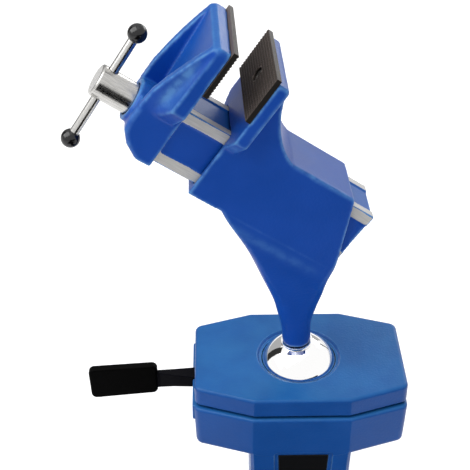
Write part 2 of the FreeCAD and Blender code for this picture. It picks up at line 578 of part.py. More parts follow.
def label_outline(grow, sunk):
    t = PLATE_TOP_Z
    w = LABEL_W / 2.0 + grow
    top, bot = t - LABEL_TOP + grow, t - LABEL_TOP - LABEL_H - grow
    return [(LABEL_X + x, column_face(z) + sunk, z) for x, z in ((-w, top), (w, top), (w - 0.6, bot), (0.6 - w, bot))]


def label_plate():
    plate = prism(label_outline(0.0, LABEL_SUNK - 0.3), (0, 1.0, 0))
    return soften(plate, 1.0, lambda e: along(e, (0, 1, 0)))


def clamp_bolts():
    t = PLATE_TOP_Z
    z0 = t - HS_BOT
    out = []
    for x, y in BOLTS:
        shank = cyl_z(BOLT_R, z0 + 2.0, t - 4.0, x, y)
        head = cyl_z(4.6, z0 - 0.9, z0 + 3.1, x, y)
        socket = prism([(x + 2.3 * math.cos(math.radians(a)), y + 2.3 * math.sin(math.radians(a)), z0 - 1.0)
                        for a in range(0, 360, 60)], (0, 0, 2.4))
        out.append(one(head.fuse(shank)).cut(socket))
    return Part.makeCompound(out)


def clamp_springs():
    """Coned disc springs that lift the clamp plate when the lever lets go."""
    z = PLATE_TOP_Z - CP_T - CP_GAP
    out = []
    for x, y in SPRINGS:
        ring = revolve_z([(1.9, z - 0.3), (3.9, z - 2.6), (3.9, z - 1.9), (1.9, z + 0.4)])
        ring.translate(V(x, y, 0))
        out.append(ring)
    return Part.makeCompound(out)


# --- lock lever -----------------------------------------------------------
def lock_lever():
    pz = PLATE_TOP_Z - PIVOT_DROP
    top = PLATE_TOP_Z - CP_T - 0.35
    w = LEVER_W / 2.0
    hub = cyl_y(6.6, -w, w, PIVOT_X, pz)
    ends = [cyl_y(5.2, *sorted((s * (w - 0.2), s * LINK_Y[1])), link_x(), ecc_z()) for s in (-1, 1)]

    def sec(x, zc, hh, hw):
        return [(x, -hw, zc - hh), (x, hw, zc - hh), (x, hw, zc + hh), (x, -hw, zc + hh)]
    x = -HS_HALF_X
    arm = loft([sec(PIVOT_X - 2.0, top - 4.6, 4.2, w), sec(x, top - 3.8, 3.7, w), sec(x - 11.0, top - 4.1, 4.3, 2.6),
                sec(x - 18.0, top - 4.5, 5.2, 1.5), sec(x - 31.0, top - 5.6, 5.2, 1.5)])
    arm = soften(arm, 0.8, lambda e: e.Length > 6.5 and e.CenterOfMass.x < x - 1 and not along(e, (0, 0, 1)))
    lever = one(hub.fuse([arm] + ends))
    return lever.cut(cyl_y(PIVOT_R + 0.3, -20, 20, PIVOT_X, pz))


def lock_grip():
    """Moulded sleeve pressed over the flat end of the lever."""
    t = PLATE_TOP_Z
    k = GRIP_T / 2.0
    x = -HS_HALF_X - GRIP_OUT
    pts = [(x, -GRIP_DROP0), (x, -GRIP_DROP0 - GRIP_H0), (x - GRIP_LEN, -GRIP_DROP1 - GRIP_H1),
           (x - GRIP_LEN - 0.8, -GRIP_DROP1)]
    g = prism([(x, -k, t + z) for x, z in pts], (0, GRIP_T, 0))
    g = soften(g, 3.0, lambda e: along(e, (0, 1, 0)))
    g = soften(g, 1.1, lambda e: abs(abs(e.CenterOfMass.y) - k) < 0.01)
    return g


def draw_links():
    t = PLATE_TOP_Z
    out = []
    for s in (-1, 1):
        y0, y1 = sorted((s * (LINK_Y[0] - 0.1), s * (LINK_Y[1] - 0.6)))
        eye = cyl_y(8.2, y0, y1, link_x(), ecc_z())
        rise = cyl_z(LINK_STUD_R, ecc_z() + 5, t - 4.6, link_x(), s * sum(LINK_Y) / 2)
        shoulder = cyl_z(LINK_STUD_R + 0.9, ecc_z() + 6.0, t - CP_T - PRESS_CLEAR, link_x(), s * sum(LINK_Y) / 2)
        shoulder = shoulder.common(box(link_x() - 10, link_x() + 10, y0, y1, 0, t))
        link = one(eye.fuse([rise, shoulder])).cut(cyl_y(5.5, -20, 20, link_x(), ecc_z()))
        out.append(link)
    return Part.makeCompound(out)


def pivot_pin():
    pz = PLATE_TOP_Z - PIVOT_DROP
    return cyl_y(PIVOT_R, -22.8, 22.8, PIVOT_X, pz)


# --- suction foot ---------------------------------------------------------
def suction_cup():
    """Rubber disc: flat sealing lip outside, domed in the middle where the stud holds it up."""
    r, z = CUP_R, CUP_TOP_Z
    pts = [(0, z - 4.4), (r - 27.5, z - 4.6), (r - 21.5, z - 5.6), (r - 16.5, z - 7.6), (r - 13.5, 0.9), (r - 12.0, 0.0),
           (r - 0.6, 0.0), (r, 0.7), (r, FOOT_RIM_Z0 - 0.4), (FOOT_R - FOOT_WALL - 0.4, FOOT_RIM_Z0 - 0.02),
           (FOOT_R - FOOT_WALL - 1.0, z - 5.4), (r - 13.0, z - 4.8), (r - 20.0, z - 1.6), (r - 26.5, z - 0.2), (0, z)]
    cup = revolve_z(pts)
    tab = prism([(-6, -CUP_R + 1, 0.4), (6, -CUP_R + 1, 0.4), (4.5, -CUP_R - 6.5, 0.4), (-4.5, -CUP_R - 6.5, 0.4)], (0, 0, 1.8))
    tab = soften(tab, 2.0, lambda e: along(e, (0, 0, 1)) and e.CenterOfMass.y < -CUP_R - 2)
    return one(cup.fuse(tab))


def backing_plate():
    z, r = CUP_TOP_Z, CUP_R - 28.5
    return revolve_z([(3.1, z), (r, z), (r, z + 1.6), (12.0, z + 2.0), (3.1, z + 2.0)])


def pull_stud():
    z = CUP_TOP_Z
    stem = cyl_z(3.0, z + 0.02, CAM_Z - 8.0)
    nut = prism([(5.0 * math.cos(math.radians(a)), 5.0 * math.sin(math.radians(a)), z + 2.0)
                 for a in range(0, 360, 60)], (0, 0, 3.2))
    zc = CAM_Z + CAM_E * math.sin(math.radians(CAM_PHASE))
    half = CAM_R + 0.3
    yoke = box(-4, 4, -13.0, 13.0, zc - half - 4.4, zc + half + 3.6)
    yoke = soften(yoke, 3.5, lambda e: along(e, (1, 0, 0)))
    slot = box(-5, 5, -half - 2.4, half + 2.4, zc - half, zc + half)
    return one(yoke.fuse([stem, nut])).cut(slot)


def cam_shaft():
    ax = V(1, 0, 0)
    left = 21.5 - FOOT_R
    shaft = Part.makeCylinder(CAM_SHAFT_R, VAC_X + VAC_T + 0.5 - left, V(left, 0, CAM_Z), ax)
    a = math.radians(CAM_PHASE)
    cam = Part.makeCylinder(CAM_R, CAM_W, V(-CAM_W / 2, -CAM_E * math.cos(a), CAM_Z + CAM_E * math.sin(a)), ax)
    return one(shaft.fuse(cam))


def vacuum_lever():
    hub = Part.makeCylinder(VAC_HUB_R, VAC_T + 1.0, V(VAC_X, 0, CAM_Z), V(1, 0, 0))
    k, reach = VAC_HUB_R - 1.6, VAC_REACH
    arm = prism([(VAC_X, -4, CAM_Z + k), (VAC_X, -reach, CAM_Z + k - 1.4), (VAC_X, -reach, CAM_Z - k + 1.4),
                 (VAC_X, -4, CAM_Z - k)], (VAC_T - 0.6, 0, 0))
    lever = one(hub.fuse(arm))
    return lever.cut(Part.makeCylinder(CAM_SHAFT_R + PRESS_CLEAR, 2 * VAC_T + 10, V(VAC_X - 4.5, 0, CAM_Z), V(1, 0, 0)))


def vacuum_grip():
    """Moulded sleeve pressed over the flat end of the vacuum lever."""
    y0, y1, x, t = -VAC_REACH + 8.0, -VAC_GRIP_REACH, VAC_X - 0.9, VAC_T + 1.2
    pts = [(y0, 6.6), (y0, -6.6), (y1, -7.4), (y1, 7.4)]
    g = prism([(x, y, CAM_Z + z) for y, z in pts], (t, 0, 0))
    g = soften(g, 3.0, lambda e: along(e, (1, 0, 0)))
    g = soften(g, 1.2, lambda e: abs(e.CenterOfMass.x - x) < 0.01 or abs(e.CenterOfMass.x - x - t) < 0.01)
    return g.cut(vacuum_lever())


def lever_screw():
    x = VAC_X + VAC_T + 1.0
    head = Part.makeCylinder(4.0, 2.2, V(x, 0, CAM_Z), V(1, 0, 0))
    slot = box(x + 1.2, x + 3.0, -5, 5, CAM_Z - 0.6, CAM_Z + 0.6)
    return head.cut(slot)


def main():
    lever = lock_lever()
    head = {
        "fixed_jaw_body": fixed_jaw_body(),
        "fixed_jaw_plate": jaw_plate(0.0, 1),
        "fixed_plate_screw": plate_screw(0.0, 1),
        "spindle_nut": spindle_nut(),
        "nut_screw": nut_screw(),
        "movable_jaw": movable_jaw(),
        "movable_jaw_plate": jaw_plate(-JAW_GAP, -1),
        "movable_plate_screw": plate_screw(-JAW_GAP, -1),
        "spindle": spindle(),
        "spindle_thrust_washer": thrust_washer(),
        "spindle_retaining_ring": retaining_ring(),
        "tommy_bar": tommy_bar(),
        "tommy_bar_balls": tommy_balls(),
        "stem_stud": stem_stud(),
    }
    nodes = {name: place_head(shape) for name, shape in head.items()}
    nodes.update({
        "ball": ball(),
        "ball_seat": ball_seat(),
        "clamp_plate": clamp_plate(),
        "clamp_bolts": clamp_bolts(),
        "clamp_springs": clamp_springs(),
        "base_housing": base_housing(),
        "base_foot": base_foot(),
        "column_screws": column_screws(),
        "label_plate": label_plate(),
        "lock_lever": lever,
        "lock_lever_grip": lock_grip().cut(lever),
        "draw_links": draw_links(),
        "lever_pivot_pin": pivot_pin(),
        "suction_cup": suction_cup(),
        "cup_backing_plate": backing_plate(),
        "pull_stud": pull_stud(),
        "cam_shaft": cam_shaft(),
        "vacuum_lever": vacuum_lever(),
        "vacuum_lever_grip": vacuum_grip(),
        "vacuum_lever_screw": lever_screw(),
    })
    for name, shape in nodes.items():
        save(name, shape)
        print(name, "valid" if shape.isValid() else "INVALID", len(shape.Solids), round(shape.Volume))


main()
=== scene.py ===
"""Dresses the suction base vise: finishes, fine detail, floor, light and camera.

Lengths are in metres. The head of the vise has a frame of its own: u runs
back along the spindle, y across the jaws and v up from the jaw plates' lower
edge. HeadFrame puts points drawn there into the vise's frame.
"""

import json
import logging
import math
from dataclasses import dataclass, field
from enum import Enum
from typing import Dict, List, Optional, Tuple, Union

import bmesh
import bpy
from mathutils import Euler, Matrix, Quaternion, Vector

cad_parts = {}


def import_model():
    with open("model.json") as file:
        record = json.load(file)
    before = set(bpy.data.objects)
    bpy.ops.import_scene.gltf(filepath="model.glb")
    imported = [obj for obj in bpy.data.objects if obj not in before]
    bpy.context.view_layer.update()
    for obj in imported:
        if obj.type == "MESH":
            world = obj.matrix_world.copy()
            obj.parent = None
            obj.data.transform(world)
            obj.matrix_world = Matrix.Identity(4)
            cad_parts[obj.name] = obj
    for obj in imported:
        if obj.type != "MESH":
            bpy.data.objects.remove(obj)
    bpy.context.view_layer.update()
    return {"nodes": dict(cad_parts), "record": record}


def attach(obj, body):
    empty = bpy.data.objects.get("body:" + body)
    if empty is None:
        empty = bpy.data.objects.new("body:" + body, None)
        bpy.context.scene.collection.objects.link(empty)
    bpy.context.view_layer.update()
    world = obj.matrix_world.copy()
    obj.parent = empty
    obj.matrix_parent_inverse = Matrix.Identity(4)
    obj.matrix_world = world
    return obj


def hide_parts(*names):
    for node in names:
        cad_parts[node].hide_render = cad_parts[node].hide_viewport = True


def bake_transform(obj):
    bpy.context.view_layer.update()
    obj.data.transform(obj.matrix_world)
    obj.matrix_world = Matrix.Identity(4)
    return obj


Point = Tuple[float, float, float]
Colour = Tuple[float, float, float]
Size = Tuple[float, float]
Object = bpy.types.Object
Material = bpy.types.Material
Tree = bpy.types.NodeTree
Node = bpy.types.Node
Socket = bpy.types.NodeSocket
Value = Union[float, Socket]
Paint = Union[Colour, Socket]
Feeds = Dict[Union[int, str], object]

LOG = logging.getLogger("vise")
MM = 0.001
MERGE_WITHIN = 0.001 * MM
ROUND_SIDES = 48
FLOAT = "NodeSocketFloat"
VECTOR = "NodeSocketVector"
WHOLE = "NodeSocketInt"
GEOMETRY = "NodeSocketGeometry"
WHITE = (1.0, 1.0, 1.0, 1.0)
# attribute holding thin paint on raised points and painted highlights
THIN_PAINT_AND_HIGHLIGHT = "ridge"


class Body(Enum):
    """The bodies that the extra pieces ride on."""

    BASE = "base"
    HEAD = "head"
    MOVING_JAW = "moving_jaw"
    CUP_STUD = "cup_stud"


class Side(Enum):
    """Which jaw a serrated plate belongs to: the way its back lies from its face."""

    FIXED = 1
    MOVABLE = -1


@dataclass(frozen=True)
class HeadFrame:
    """The leaned and turned frame of the vise's head."""

    tilt: float = math.radians(34.3)
    yaw: float = math.radians(1.7)
    ball: Point = (118.233 * MM, 0.0, -118.474 * MM)
    centre: Point = (0.0, 0.0, 147.7 * MM)

    def turn(self) -> Euler:
        """The frame's rotation, as Blender's XYZ angles."""
        return Euler((0.0, self.tilt, self.yaw), "XYZ")

    def matrix(self) -> Matrix:
        """Takes head coordinates to the vise's frame."""
        rot = self.turn().to_matrix().to_4x4()
        return Matrix.Translation(self.centre) @ rot @ Matrix.Translation(-Vector(self.ball))

    def origin(self) -> Vector:
        """Where the head's own zero point lies in the vise's frame."""
        return self.matrix().to_translation()


HEAD = HeadFrame()


# --- plain helpers ----------------------------------------------------------
def clamped(value: float) -> float:
    """Keeps a value between 0 and 1."""
    return min(1.0, max(0.0, value))


def toned(colour: Colour, factor: float) -> Colour:
    """A colour made lighter or darker, up to full strength."""
    return tuple(min(1.0, c * factor) for c in colour)


def with_alpha(colour: Paint) -> object:
    """Gives a plain colour full alpha, and leaves a socket as it is."""
    return colour if isinstance(colour, Socket) else (*colour, 1.0)


def plain_material(name: str, **sockets: object) -> Tuple[Material, Node]:
    """Starts a material.

    Args:
        name: the material's name.
        sockets: constants for its shader, by name, with spaces written as underscores.

    Returns:
        The material and its Principled shader.
    """
    material = bpy.data.materials.new(name)
    material.use_nodes = True
    shader = material.node_tree.nodes["Principled BSDF"]
    for key, value in sockets.items():
        shader.inputs[key.replace("_", " ")].default_value = value
    return material, shader


# --- node trees -------------------------------------------------------------
class Graph:
    """A node tree that is being wired, with short calls for its usual nodes."""

    def __init__(self, tree: Tree) -> None:
        """Takes the tree to add nodes to."""
        self.tree = tree

    def add(self, kind: str, feeds: Optional[Feeds] = None, **settings: object) -> Node:
        """Adds a node.

        Args:
            kind: the node's type name.
            feeds: a constant or a socket for its inputs, by their name or number.
            settings: properties to set on it.

        Returns:
            The new node.
        """
        node = self.tree.nodes.new(kind)
        for key, value in settings.items():
            setattr(node, key, value)
        for key, value in (feeds or {}).items():
            self.feed(node.inputs[key], value)
        return node

    def link(self, source: Socket, target: Socket) -> None:
        """Joins an output to an input."""
        self.tree.links.new(source, target)

    def feed(self, target: Socket, value: object) -> None:
        """Sets an input to a constant, or links it where the value is a socket.

        Args:
            target: the input.
            value: the constant or the socket.
        """
        if isinstance(value, Socket):
            self.link(value, target)
        else:
            target.default_value = value

    def math(self, operation: str, a: Value, b: Value = 0.0, c: Value = 0.0, clamp: bool = False) -> Socket:
        """Adds a Math node, clamped between 0 and 1 where asked, and returns its result."""
        feeds = {0: a, 1: b, 2: c}
        return self.add("ShaderNodeMath", feeds, operation=operation, use_clamp=clamp).outputs[0]

    def times(self, a: Value, b: Value, clamp: bool = False) -> Socket:
        """Multiplies two values, clamped where asked, and returns the result."""
        return self.math("MULTIPLY", a, b, clamp=clamp)

    def blend(self, factor: Value, a: Paint, b: Paint) -> Socket:
        """Mixes two colours by a factor and returns the result."""
        feeds = {0: factor, 6: with_alpha(a), 7: with_alpha(b)}
        return self.add("ShaderNodeMix", feeds, data_type="RGBA").outputs[2]

    def noise(self, vector: Socket, scale: Value, detail: float) -> Socket:
        """Adds a noise texture and returns its value."""
        feeds = {"Vector": vector, "Scale": scale, "Detail": detail}
        return self.add("ShaderNodeTexNoise", feeds).outputs[0]

    def span(
        self, value: Value, low: float, high: float, to_low: float = 0.0, to_high: float = 1.0
    ) -> Socket:
        """Maps a range onto another, clamped, and returns the result."""
        feeds = dict(enumerate((value, low, high, to_low, to_high)))
        return self.add("ShaderNodeMapRange", feeds, clamp=True).outputs[0]

    def vector(self, x: Value, y: Value, z: Value) -> Socket:
        """Joins three values into a vector."""
        return self.add("ShaderNodeCombineXYZ", {0: x, 1: y, 2: z}).outputs[0]

    def axes(self, vector: Socket) -> Tuple[Socket, ...]:
        """Splits a vector into its three values."""
        return tuple(self.add("ShaderNodeSeparateXYZ", {0: vector}).outputs)

    def facing(self) -> Tuple[Socket, ...]:
        """Which way the surface faces, as three values."""
        return self.axes(self.add("ShaderNodeNewGeometry").outputs["Normal"])

    def seen(self) -> Socket:
        """Tells the rays that show a surface to the eye from those that only light others.

        Returns:
            1 for a ray from the camera, a mirror or glass, and 0 for the rest.
        """
        ray = self.add("ShaderNodeLightPath").outputs
        mirrored = self.math("MAXIMUM", ray["Is Camera Ray"], ray["Is Glossy Ray"])
        return self.math("MAXIMUM", mirrored, ray["Is Transmission Ray"])

    def group(self, tree: Tree, **inputs: object) -> Node:
        """Adds a shader group, fed by name, with spaces written as underscores."""
        feeds = {name.replace("_", " "): value for name, value in inputs.items()}
        return self.add("ShaderNodeGroup", feeds, node_tree=tree)


def node_tree(
    name: str, inputs: Dict[str, Tuple[str, object]], outputs: Dict[str, str], kind: str = "ShaderNodeTree"
) -> Tuple[Graph, bpy.types.NodeOutputs, bpy.types.NodeInputs]:
    """Starts a node group.

    Args:
        name: the group's name.
        inputs: socket type and default value, or None, by input name.
        outputs: socket type by output name.
        kind: the tree's type name.

    Returns:
        The group's graph, the sockets that bring its inputs and those that take its outputs.
    """
    tree = bpy.data.node_groups.new(name, kind)
    for key, (socket_kind, default) in inputs.items():
        socket = tree.interface.new_socket(name=key, in_out="INPUT", socket_type=socket_kind)
        if default is not None:
            socket.default_value = default
    for key, socket_kind in outputs.items():
        tree.interface.new_socket(name=key, in_out="OUTPUT", socket_type=socket_kind)
    graph = Graph(tree)
    return graph, graph.add("NodeGroupInput").outputs, graph.add("NodeGroupOutput").inputs


class ShaderKit:
    """The effects that several finishes share, each built once as a group.

    rays is how many rays find an edge or a crevice.
    """

    rays: int = 6

    def __init__(self) -> None:
        """Builds every group."""
        self.edges = self._edges()
        self.peel = self._peel()
        self.wear_and_highlight = self._wear_and_highlight()
        self.brush = self._brush()
        self.dust_and_top_light = self._dust_and_top_light()
        self.crevice_shade = self._crevice_shade()

    def _edges(self) -> Tree:
        """Rounds sharp edges in the shading.

        Returns:
            The group, whose mask marks those edges, less so underneath as painted light from above, and the
            stored thin paint and painted highlights.
        """
        inputs = {"Radius": (FLOAT, 0.6 * MM), "Gain": (FLOAT, 8.0)}
        g, src, out = node_tree("edge_rounding", inputs, {"Mask": FLOAT, "Normal": VECTOR})
        rounded = g.add("ShaderNodeBevel", {"Radius": src["Radius"]}, samples=self.rays).outputs[0]
        flat = g.add("ShaderNodeNewGeometry").outputs["Normal"]
        dot = g.add("ShaderNodeVectorMath", {0: rounded, 1: flat}, operation="DOT_PRODUCT").outputs["Value"]
        lean = g.math("SUBTRACT", 1.0, dot, clamp=True)
        # edges that face down are marked less: painted light from above
        upper = g.span(g.axes(rounded)[2], -0.4, 0.15, 0.1, 1.0)
        sharp = g.times(g.times(lean, src["Gain"], clamp=True), upper)
        ridge = g.add("ShaderNodeAttribute", attribute_name=THIN_PAINT_AND_HIGHLIGHT).outputs["Fac"]
        g.link(g.math("MAXIMUM", ridge, sharp), out["Mask"])
        g.link(rounded, out["Normal"])
        return g.tree

    def _peel(self) -> Tree:
        """Makes the low waves of sprayed enamel over a fine cast skin.

        Returns:
            The group, with the waves' height and a broad cloud.
        """
        inputs = {"Vector": (VECTOR, None), "Scale": (FLOAT, 600.0)}
        g, src, out = node_tree("orange_peel", inputs, {"Height": FLOAT, "Cloud": FLOAT})
        coarse = g.noise(src["Vector"], src["Scale"], 2.0)
        fine = g.noise(src["Vector"], g.times(src["Scale"], 2.7), 3.0)
        g.link(g.math("MULTIPLY_ADD", fine, 0.35, coarse), out["Height"])
        cloud = g.noise(src["Vector"], g.times(src["Scale"], 0.05), 2.0)
        g.link(g.span(cloud, 0.3, 0.7), out["Cloud"])
        return g.tree

    def _wear_and_highlight(self) -> Tree:
        """Breaks an edge mask up, as worn paint or steel shows it, and with it the painted highlights that
        the mask carries.

        Returns:
            The group, with the broken mask.
        """
        inputs = {"Vector": (VECTOR, None), "Edge": (FLOAT, 0.0)}
        inputs.update({"Scale": (FLOAT, 300.0), "Amount": (FLOAT, 0.5)})
        g, src, out = node_tree("edge_wear", inputs, {"Mask": FLOAT})
        broken = g.span(g.noise(src["Vector"], src["Scale"], 4.0), 0.36, 0.62, 0.4, 1.0)
        g.link(g.times(g.times(src["Edge"], broken), src["Amount"], clamp=True), out["Mask"])
        return g.tree

    def _brush(self) -> Tree:
        """Makes fine parallel tool marks along the pattern's first axis.

        Returns:
            The group, with the marks' value.
        """
        inputs = {"Vector": (VECTOR, None), "Across": (FLOAT, 4000.0), "Along": (FLOAT, 60.0)}
        g, src, out = node_tree("tool_marks", inputs, {"Value": FLOAT})
        scale = g.vector(src["Along"], src["Across"], src["Across"])
        stretched = g.add("ShaderNodeVectorMath", {0: src["Vector"], 1: scale}, operation="MULTIPLY")
        g.link(g.noise(stretched.outputs[0], 1.0, 3.0), out["Value"])
        return g.tree

    def _dust_and_top_light(self) -> Tree:
        """Lays a thin dusting, and painted light from above, on what faces up.

        Returns:
            The group, with the mask of the dusting and the painted light.
        """
        inputs = {"Vector": (VECTOR, None), "Amount": (FLOAT, 0.05)}
        g, src, out = node_tree("dust_haze", inputs, {"Mask": FLOAT})
        # what faces up is lighter: dusting, and painted light from above
        up = g.span(g.facing()[2], 0.35, 1.0)
        cloud = g.span(g.noise(src["Vector"], 60.0, 5.0), 0.35, 0.75, 0.6, 1.0)
        g.link(g.times(g.times(up, cloud), src["Amount"], clamp=True), out["Mask"])
        return g.tree

    def _crevice_shade(self) -> Tree:
        """Paints shade where surfaces nearly meet, broken up a little by noise.

        Returns:
            The group, with the painted shade's mask.
        """
        inputs = {"Vector": (VECTOR, None), "Reach": (FLOAT, 2.0 * MM), "Amount": (FLOAT, 0.8)}
        g, src, out = node_tree("crevice_grime", inputs, {"Mask": FLOAT})
        near = g.add("ShaderNodeAmbientOcclusion", {"Distance": src["Reach"]}, samples=self.rays)
        cloud = g.span(g.noise(src["Vector"], 200.0, 3.0), 0.3, 0.7, 0.75, 1.0)
        painted_shade = g.times(g.span(near.outputs["AO"], 0.30, 0.62, 1.0, 0.0), cloud)
        g.link(g.times(painted_shade, src["Amount"], clamp=True), out["Mask"])
        return g.tree


class Dressing:
    """A material that is being wired round its own Principled shader."""

    def __init__(self, name: str, kit: ShaderKit, **sockets: object) -> None:
        """Starts the material.

        Args:
            name: the material's name.
            kit: the shared groups.
            sockets: constants for the shader, by name, with spaces written as underscores.
        """
        self.kit = kit
        self.material, self.shader = plain_material(name, **sockets)
        self.g = Graph(self.material.node_tree)
        self.place = self.g.add("ShaderNodeTexCoord").outputs["Object"]

    def head_place(self) -> Socket:
        """Object coordinates in the head's own frame."""
        feeds = {"Vector": self.place, "Location": HEAD.origin(), "Rotation": HEAD.turn()}
        return self.g.add("ShaderNodeMapping", feeds, vector_type="TEXTURE").outputs[0]

    def edges(self, radius: float, gain: float = 8.0) -> Node:
        """Adds the edge rounding and returns its node."""
        return self.g.group(self.kit.edges, Radius=radius, Gain=gain)

    def wear_and_highlight(self, edge: Node, scale: float, amount: float) -> Socket:
        """Adds worn spots and a painted highlight on the rounded edges and returns their mask."""
        feeds = {"Edge": edge.outputs["Mask"], "Scale": scale, "Amount": amount}
        return self.g.group(self.kit.wear_and_highlight, Vector=self.place, **feeds).outputs[0]

    def dust_and_top_light(self, amount: float) -> Socket:
        """Adds the dusting and the painted light from above on what faces up, and returns their mask."""
        return self.g.group(self.kit.dust_and_top_light, Vector=self.place, Amount=amount).outputs[0]

    def marks(self, across: float, along: float) -> Socket:
        """Adds tool marks that run along the spindle and returns their value."""
        place = self.head_place()
        return self.g.group(self.kit.brush, Vector=place, Across=across, Along=along).outputs[0]

    def bump(self, height: Socket, depth: float, strength: float, edge: Node) -> Socket:
        """Adds a bump over the rounded edges.

        Args:
            height: the height, 0 to 1.
            depth: the depth that a height of 1 stands for.
            strength: how much of it shows.
            edge: the edge rounding.

        Returns:
            The bumped normal.
        """
        normal = edge.outputs["Normal"]
        feeds = {"Strength": strength, "Distance": depth, "Height": height, "Normal": normal}
        return self.g.add("ShaderNodeBump", feeds).outputs[0]

    def wire(self, **sockets: Socket) -> Material:
        """Links results to the shader.

        Args:
            sockets: the results, by the shader's inputs, with spaces written as underscores.

        Returns:
            The finished material.
        """
        for key, source in sockets.items():
            self.g.link(source, self.shader.inputs[key.replace("_", " ")])
        return self.material


# --- finishes ---------------------------------------------------------------
@dataclass(frozen=True)
class BlueEnamel:
    """Semi-gloss blue enamel sprayed on a casting, thinner and lighter on its edges with a painted
    highlight there, painted light on what faces up and painted shade in its crevices.
    """

    name: str = "blue_enamel"
    deep: Colour = (0.002, 0.062, 0.385)
    light: Colour = (0.003, 0.072, 0.445)
    # edge colour: thin worn paint and a painted highlight
    edge: Colour = (0.130, 0.360, 0.720)
    # colour of the painted light from above on what faces up
    top_light_colour: Colour = (0.10, 0.52, 0.92)
    # colour of the painted shade in crevices and gaps
    painted_shade: Colour = (0.001, 0.006, 0.035)
    top_light: float = 0.09
    gloss: float = 0.24
    rough: Tuple[float, float] = (0.30, 0.37)
    peel_scale: float = 760.0
    peel_depth: float = 0.18 * MM
    relief: float = 0.55
    edge_radius: float = 0.9 * MM
    wear_scale: float = 260.0
    wear_and_highlight: float = 0.75
    crevice: float = 2.2 * MM
    crevice_shade: float = 0.9

    def paint(self, d: Dressing, edge: Node) -> Tuple[Socket, Socket, Socket]:
        """Wires the paint itself.

        Args:
            d: the material being wired.
            edge: its edge rounding.

        Returns:
            The colour, the roughness and the bump's height.
        """
        g = d.g
        peel = g.group(d.kit.peel, Vector=d.place, Scale=self.peel_scale).outputs
        crevice_shade = g.group(d.kit.crevice_shade, Vector=d.place, Reach=self.crevice, Amount=self.crevice_shade).outputs[0]
        colour = g.blend(peel["Cloud"], self.deep, self.light)
        # edges lighter: thin worn paint and a painted highlight
        colour = g.blend(d.wear_and_highlight(edge, self.wear_scale, self.wear_and_highlight), colour, self.edge)
        # painted light from above on what faces up
        colour = g.blend(d.dust_and_top_light(self.top_light), colour, self.top_light_colour)
        # painted shade where surfaces nearly meet
        colour = g.blend(crevice_shade, colour, self.painted_shade)
        return colour, g.span(peel["Cloud"], 0.0, 1.0, *self.rough), peel["Height"]

    def build(self, kit: ShaderKit) -> Material:
        """Builds the material.

        Args:
            kit: the shared groups.

        Returns:
            The material.
        """
        d = Dressing(self.name, kit, Specular_IOR_Level=self.gloss)
        edge = d.edges(self.edge_radius)
        colour, rough, height = self.paint(d, edge)
        normal = d.bump(height, self.peel_depth, self.relief, edge)
        return d.wire(Base_Color=colour, Roughness=rough, Normal=normal)


@dataclass(frozen=True)
class MilledBeam:
    """The moving jaw's finish: enamel, with the beam's guide strips milled to bare metal.

    start, side, top and bottom bound the milled faces in the head's frame.
    """

    name: str = "milled_beam"
    # more painted light from above on the moving jaw's upper faces
    enamel: BlueEnamel = field(default_factory=lambda: BlueEnamel(top_light=0.22))
    metal: Colour = (0.66, 0.655, 0.645)
    streak: float = 0.8
    metallic: float = 0.22
    rough: Tuple[float, float] = (0.42, 0.60)
    marks_across: float = 2600.0
    marks_along: float = 140.0
    marks_relief: float = 0.25
    edge_radius: float = 0.72 * MM
    start: float = -18.85 * MM
    side: float = 13.9 * MM
    top: float = -14.08 * MM
    bottom: float = -43.3 * MM

    def strips(self, d: Dressing) -> Socket:
        """Masks the milled faces by their place in the head's frame.

        Args:
            d: the material being wired.

        Returns:
            1 on the milled faces and 0 elsewhere.
        """
        g = d.g
        u, y, v = g.axes(d.head_place())
        sides = g.math("GREATER_THAN", g.math("ABSOLUTE", y), self.side)
        faces = g.math("MAXIMUM", sides, g.math("GREATER_THAN", v, self.top))
        faces = g.math("MAXIMUM", faces, g.math("LESS_THAN", v, self.bottom))
        return g.times(faces, g.math("GREATER_THAN", u, self.start))

    def build(self, kit: ShaderKit) -> Material:
        """Builds the material.

        Args:
            kit: the shared groups.

        Returns:
            The material.
        """
        d = Dressing(self.name, kit, Specular_IOR_Level=self.enamel.gloss)
        g = d.g
        edge = d.edges(self.edge_radius)
        colour, rough, height = self.enamel.paint(d, edge)
        milled = self.strips(d)
        painted = g.math("SUBTRACT", 1.0, milled)
        marks = d.marks(self.marks_across, self.marks_along)
        bare = g.blend(g.span(marks, 0.3, 0.7), self.metal, toned(self.metal, self.streak))
        bare_rough = g.span(marks, 0.2, 0.8, *self.rough)
        rough = g.math("ADD", g.times(rough, painted), g.times(milled, bare_rough))
        relief = g.math("MULTIPLY_ADD", g.times(marks, milled), self.marks_relief, g.times(height, painted))
        return d.wire(
            Base_Color=g.blend(milled, colour, bare),
            Roughness=rough,
            Metallic=g.times(milled, self.metallic),
            Normal=d.bump(relief, self.enamel.peel_depth, self.enamel.relief, edge),
        )


@dataclass(frozen=True)
class TurnedMetal:
    """Bare steel, bronze or chrome plate with fine tool marks, and edges lighter from faint handling and a
    painted highlight.
    """

    name: str
    colour: Colour
    rough: float
    spread: float = 0.05
    tint: float = 0.9
    depth: float = 0.01 * MM
    relief: float = 0.4
    marks_across: float = 3000.0
    marks_along: float = 200.0
    edge_radius: float = 0.3 * MM
    wear_scale: float = 500.0
    wear_and_highlight: float = 0.6
    worn: float = 1.25

    def build(self, kit: ShaderKit) -> Material:
        """Builds the material.

        Args:
            kit: the shared groups.

        Returns:
            The material.
        """
        d = Dressing(self.name, kit, Metallic=1.0)
        g = d.g
        edge = d.edges(self.edge_radius)
        marks = d.marks(self.marks_across, self.marks_along)
        colour = g.blend(g.span(marks, 0.35, 0.65), self.colour, toned(self.colour, self.tint))
        # edges lighter: worn steel and a painted highlight
        colour = g.blend(d.wear_and_highlight(edge, self.wear_scale, self.wear_and_highlight), colour, toned(self.colour, self.worn))
        rough = g.span(marks, 0.3, 0.7, self.rough, self.rough + self.spread)
        normal = d.bump(marks, self.depth, self.relief, edge)
        return d.wire(Base_Color=colour, Roughness=rough, Normal=normal)


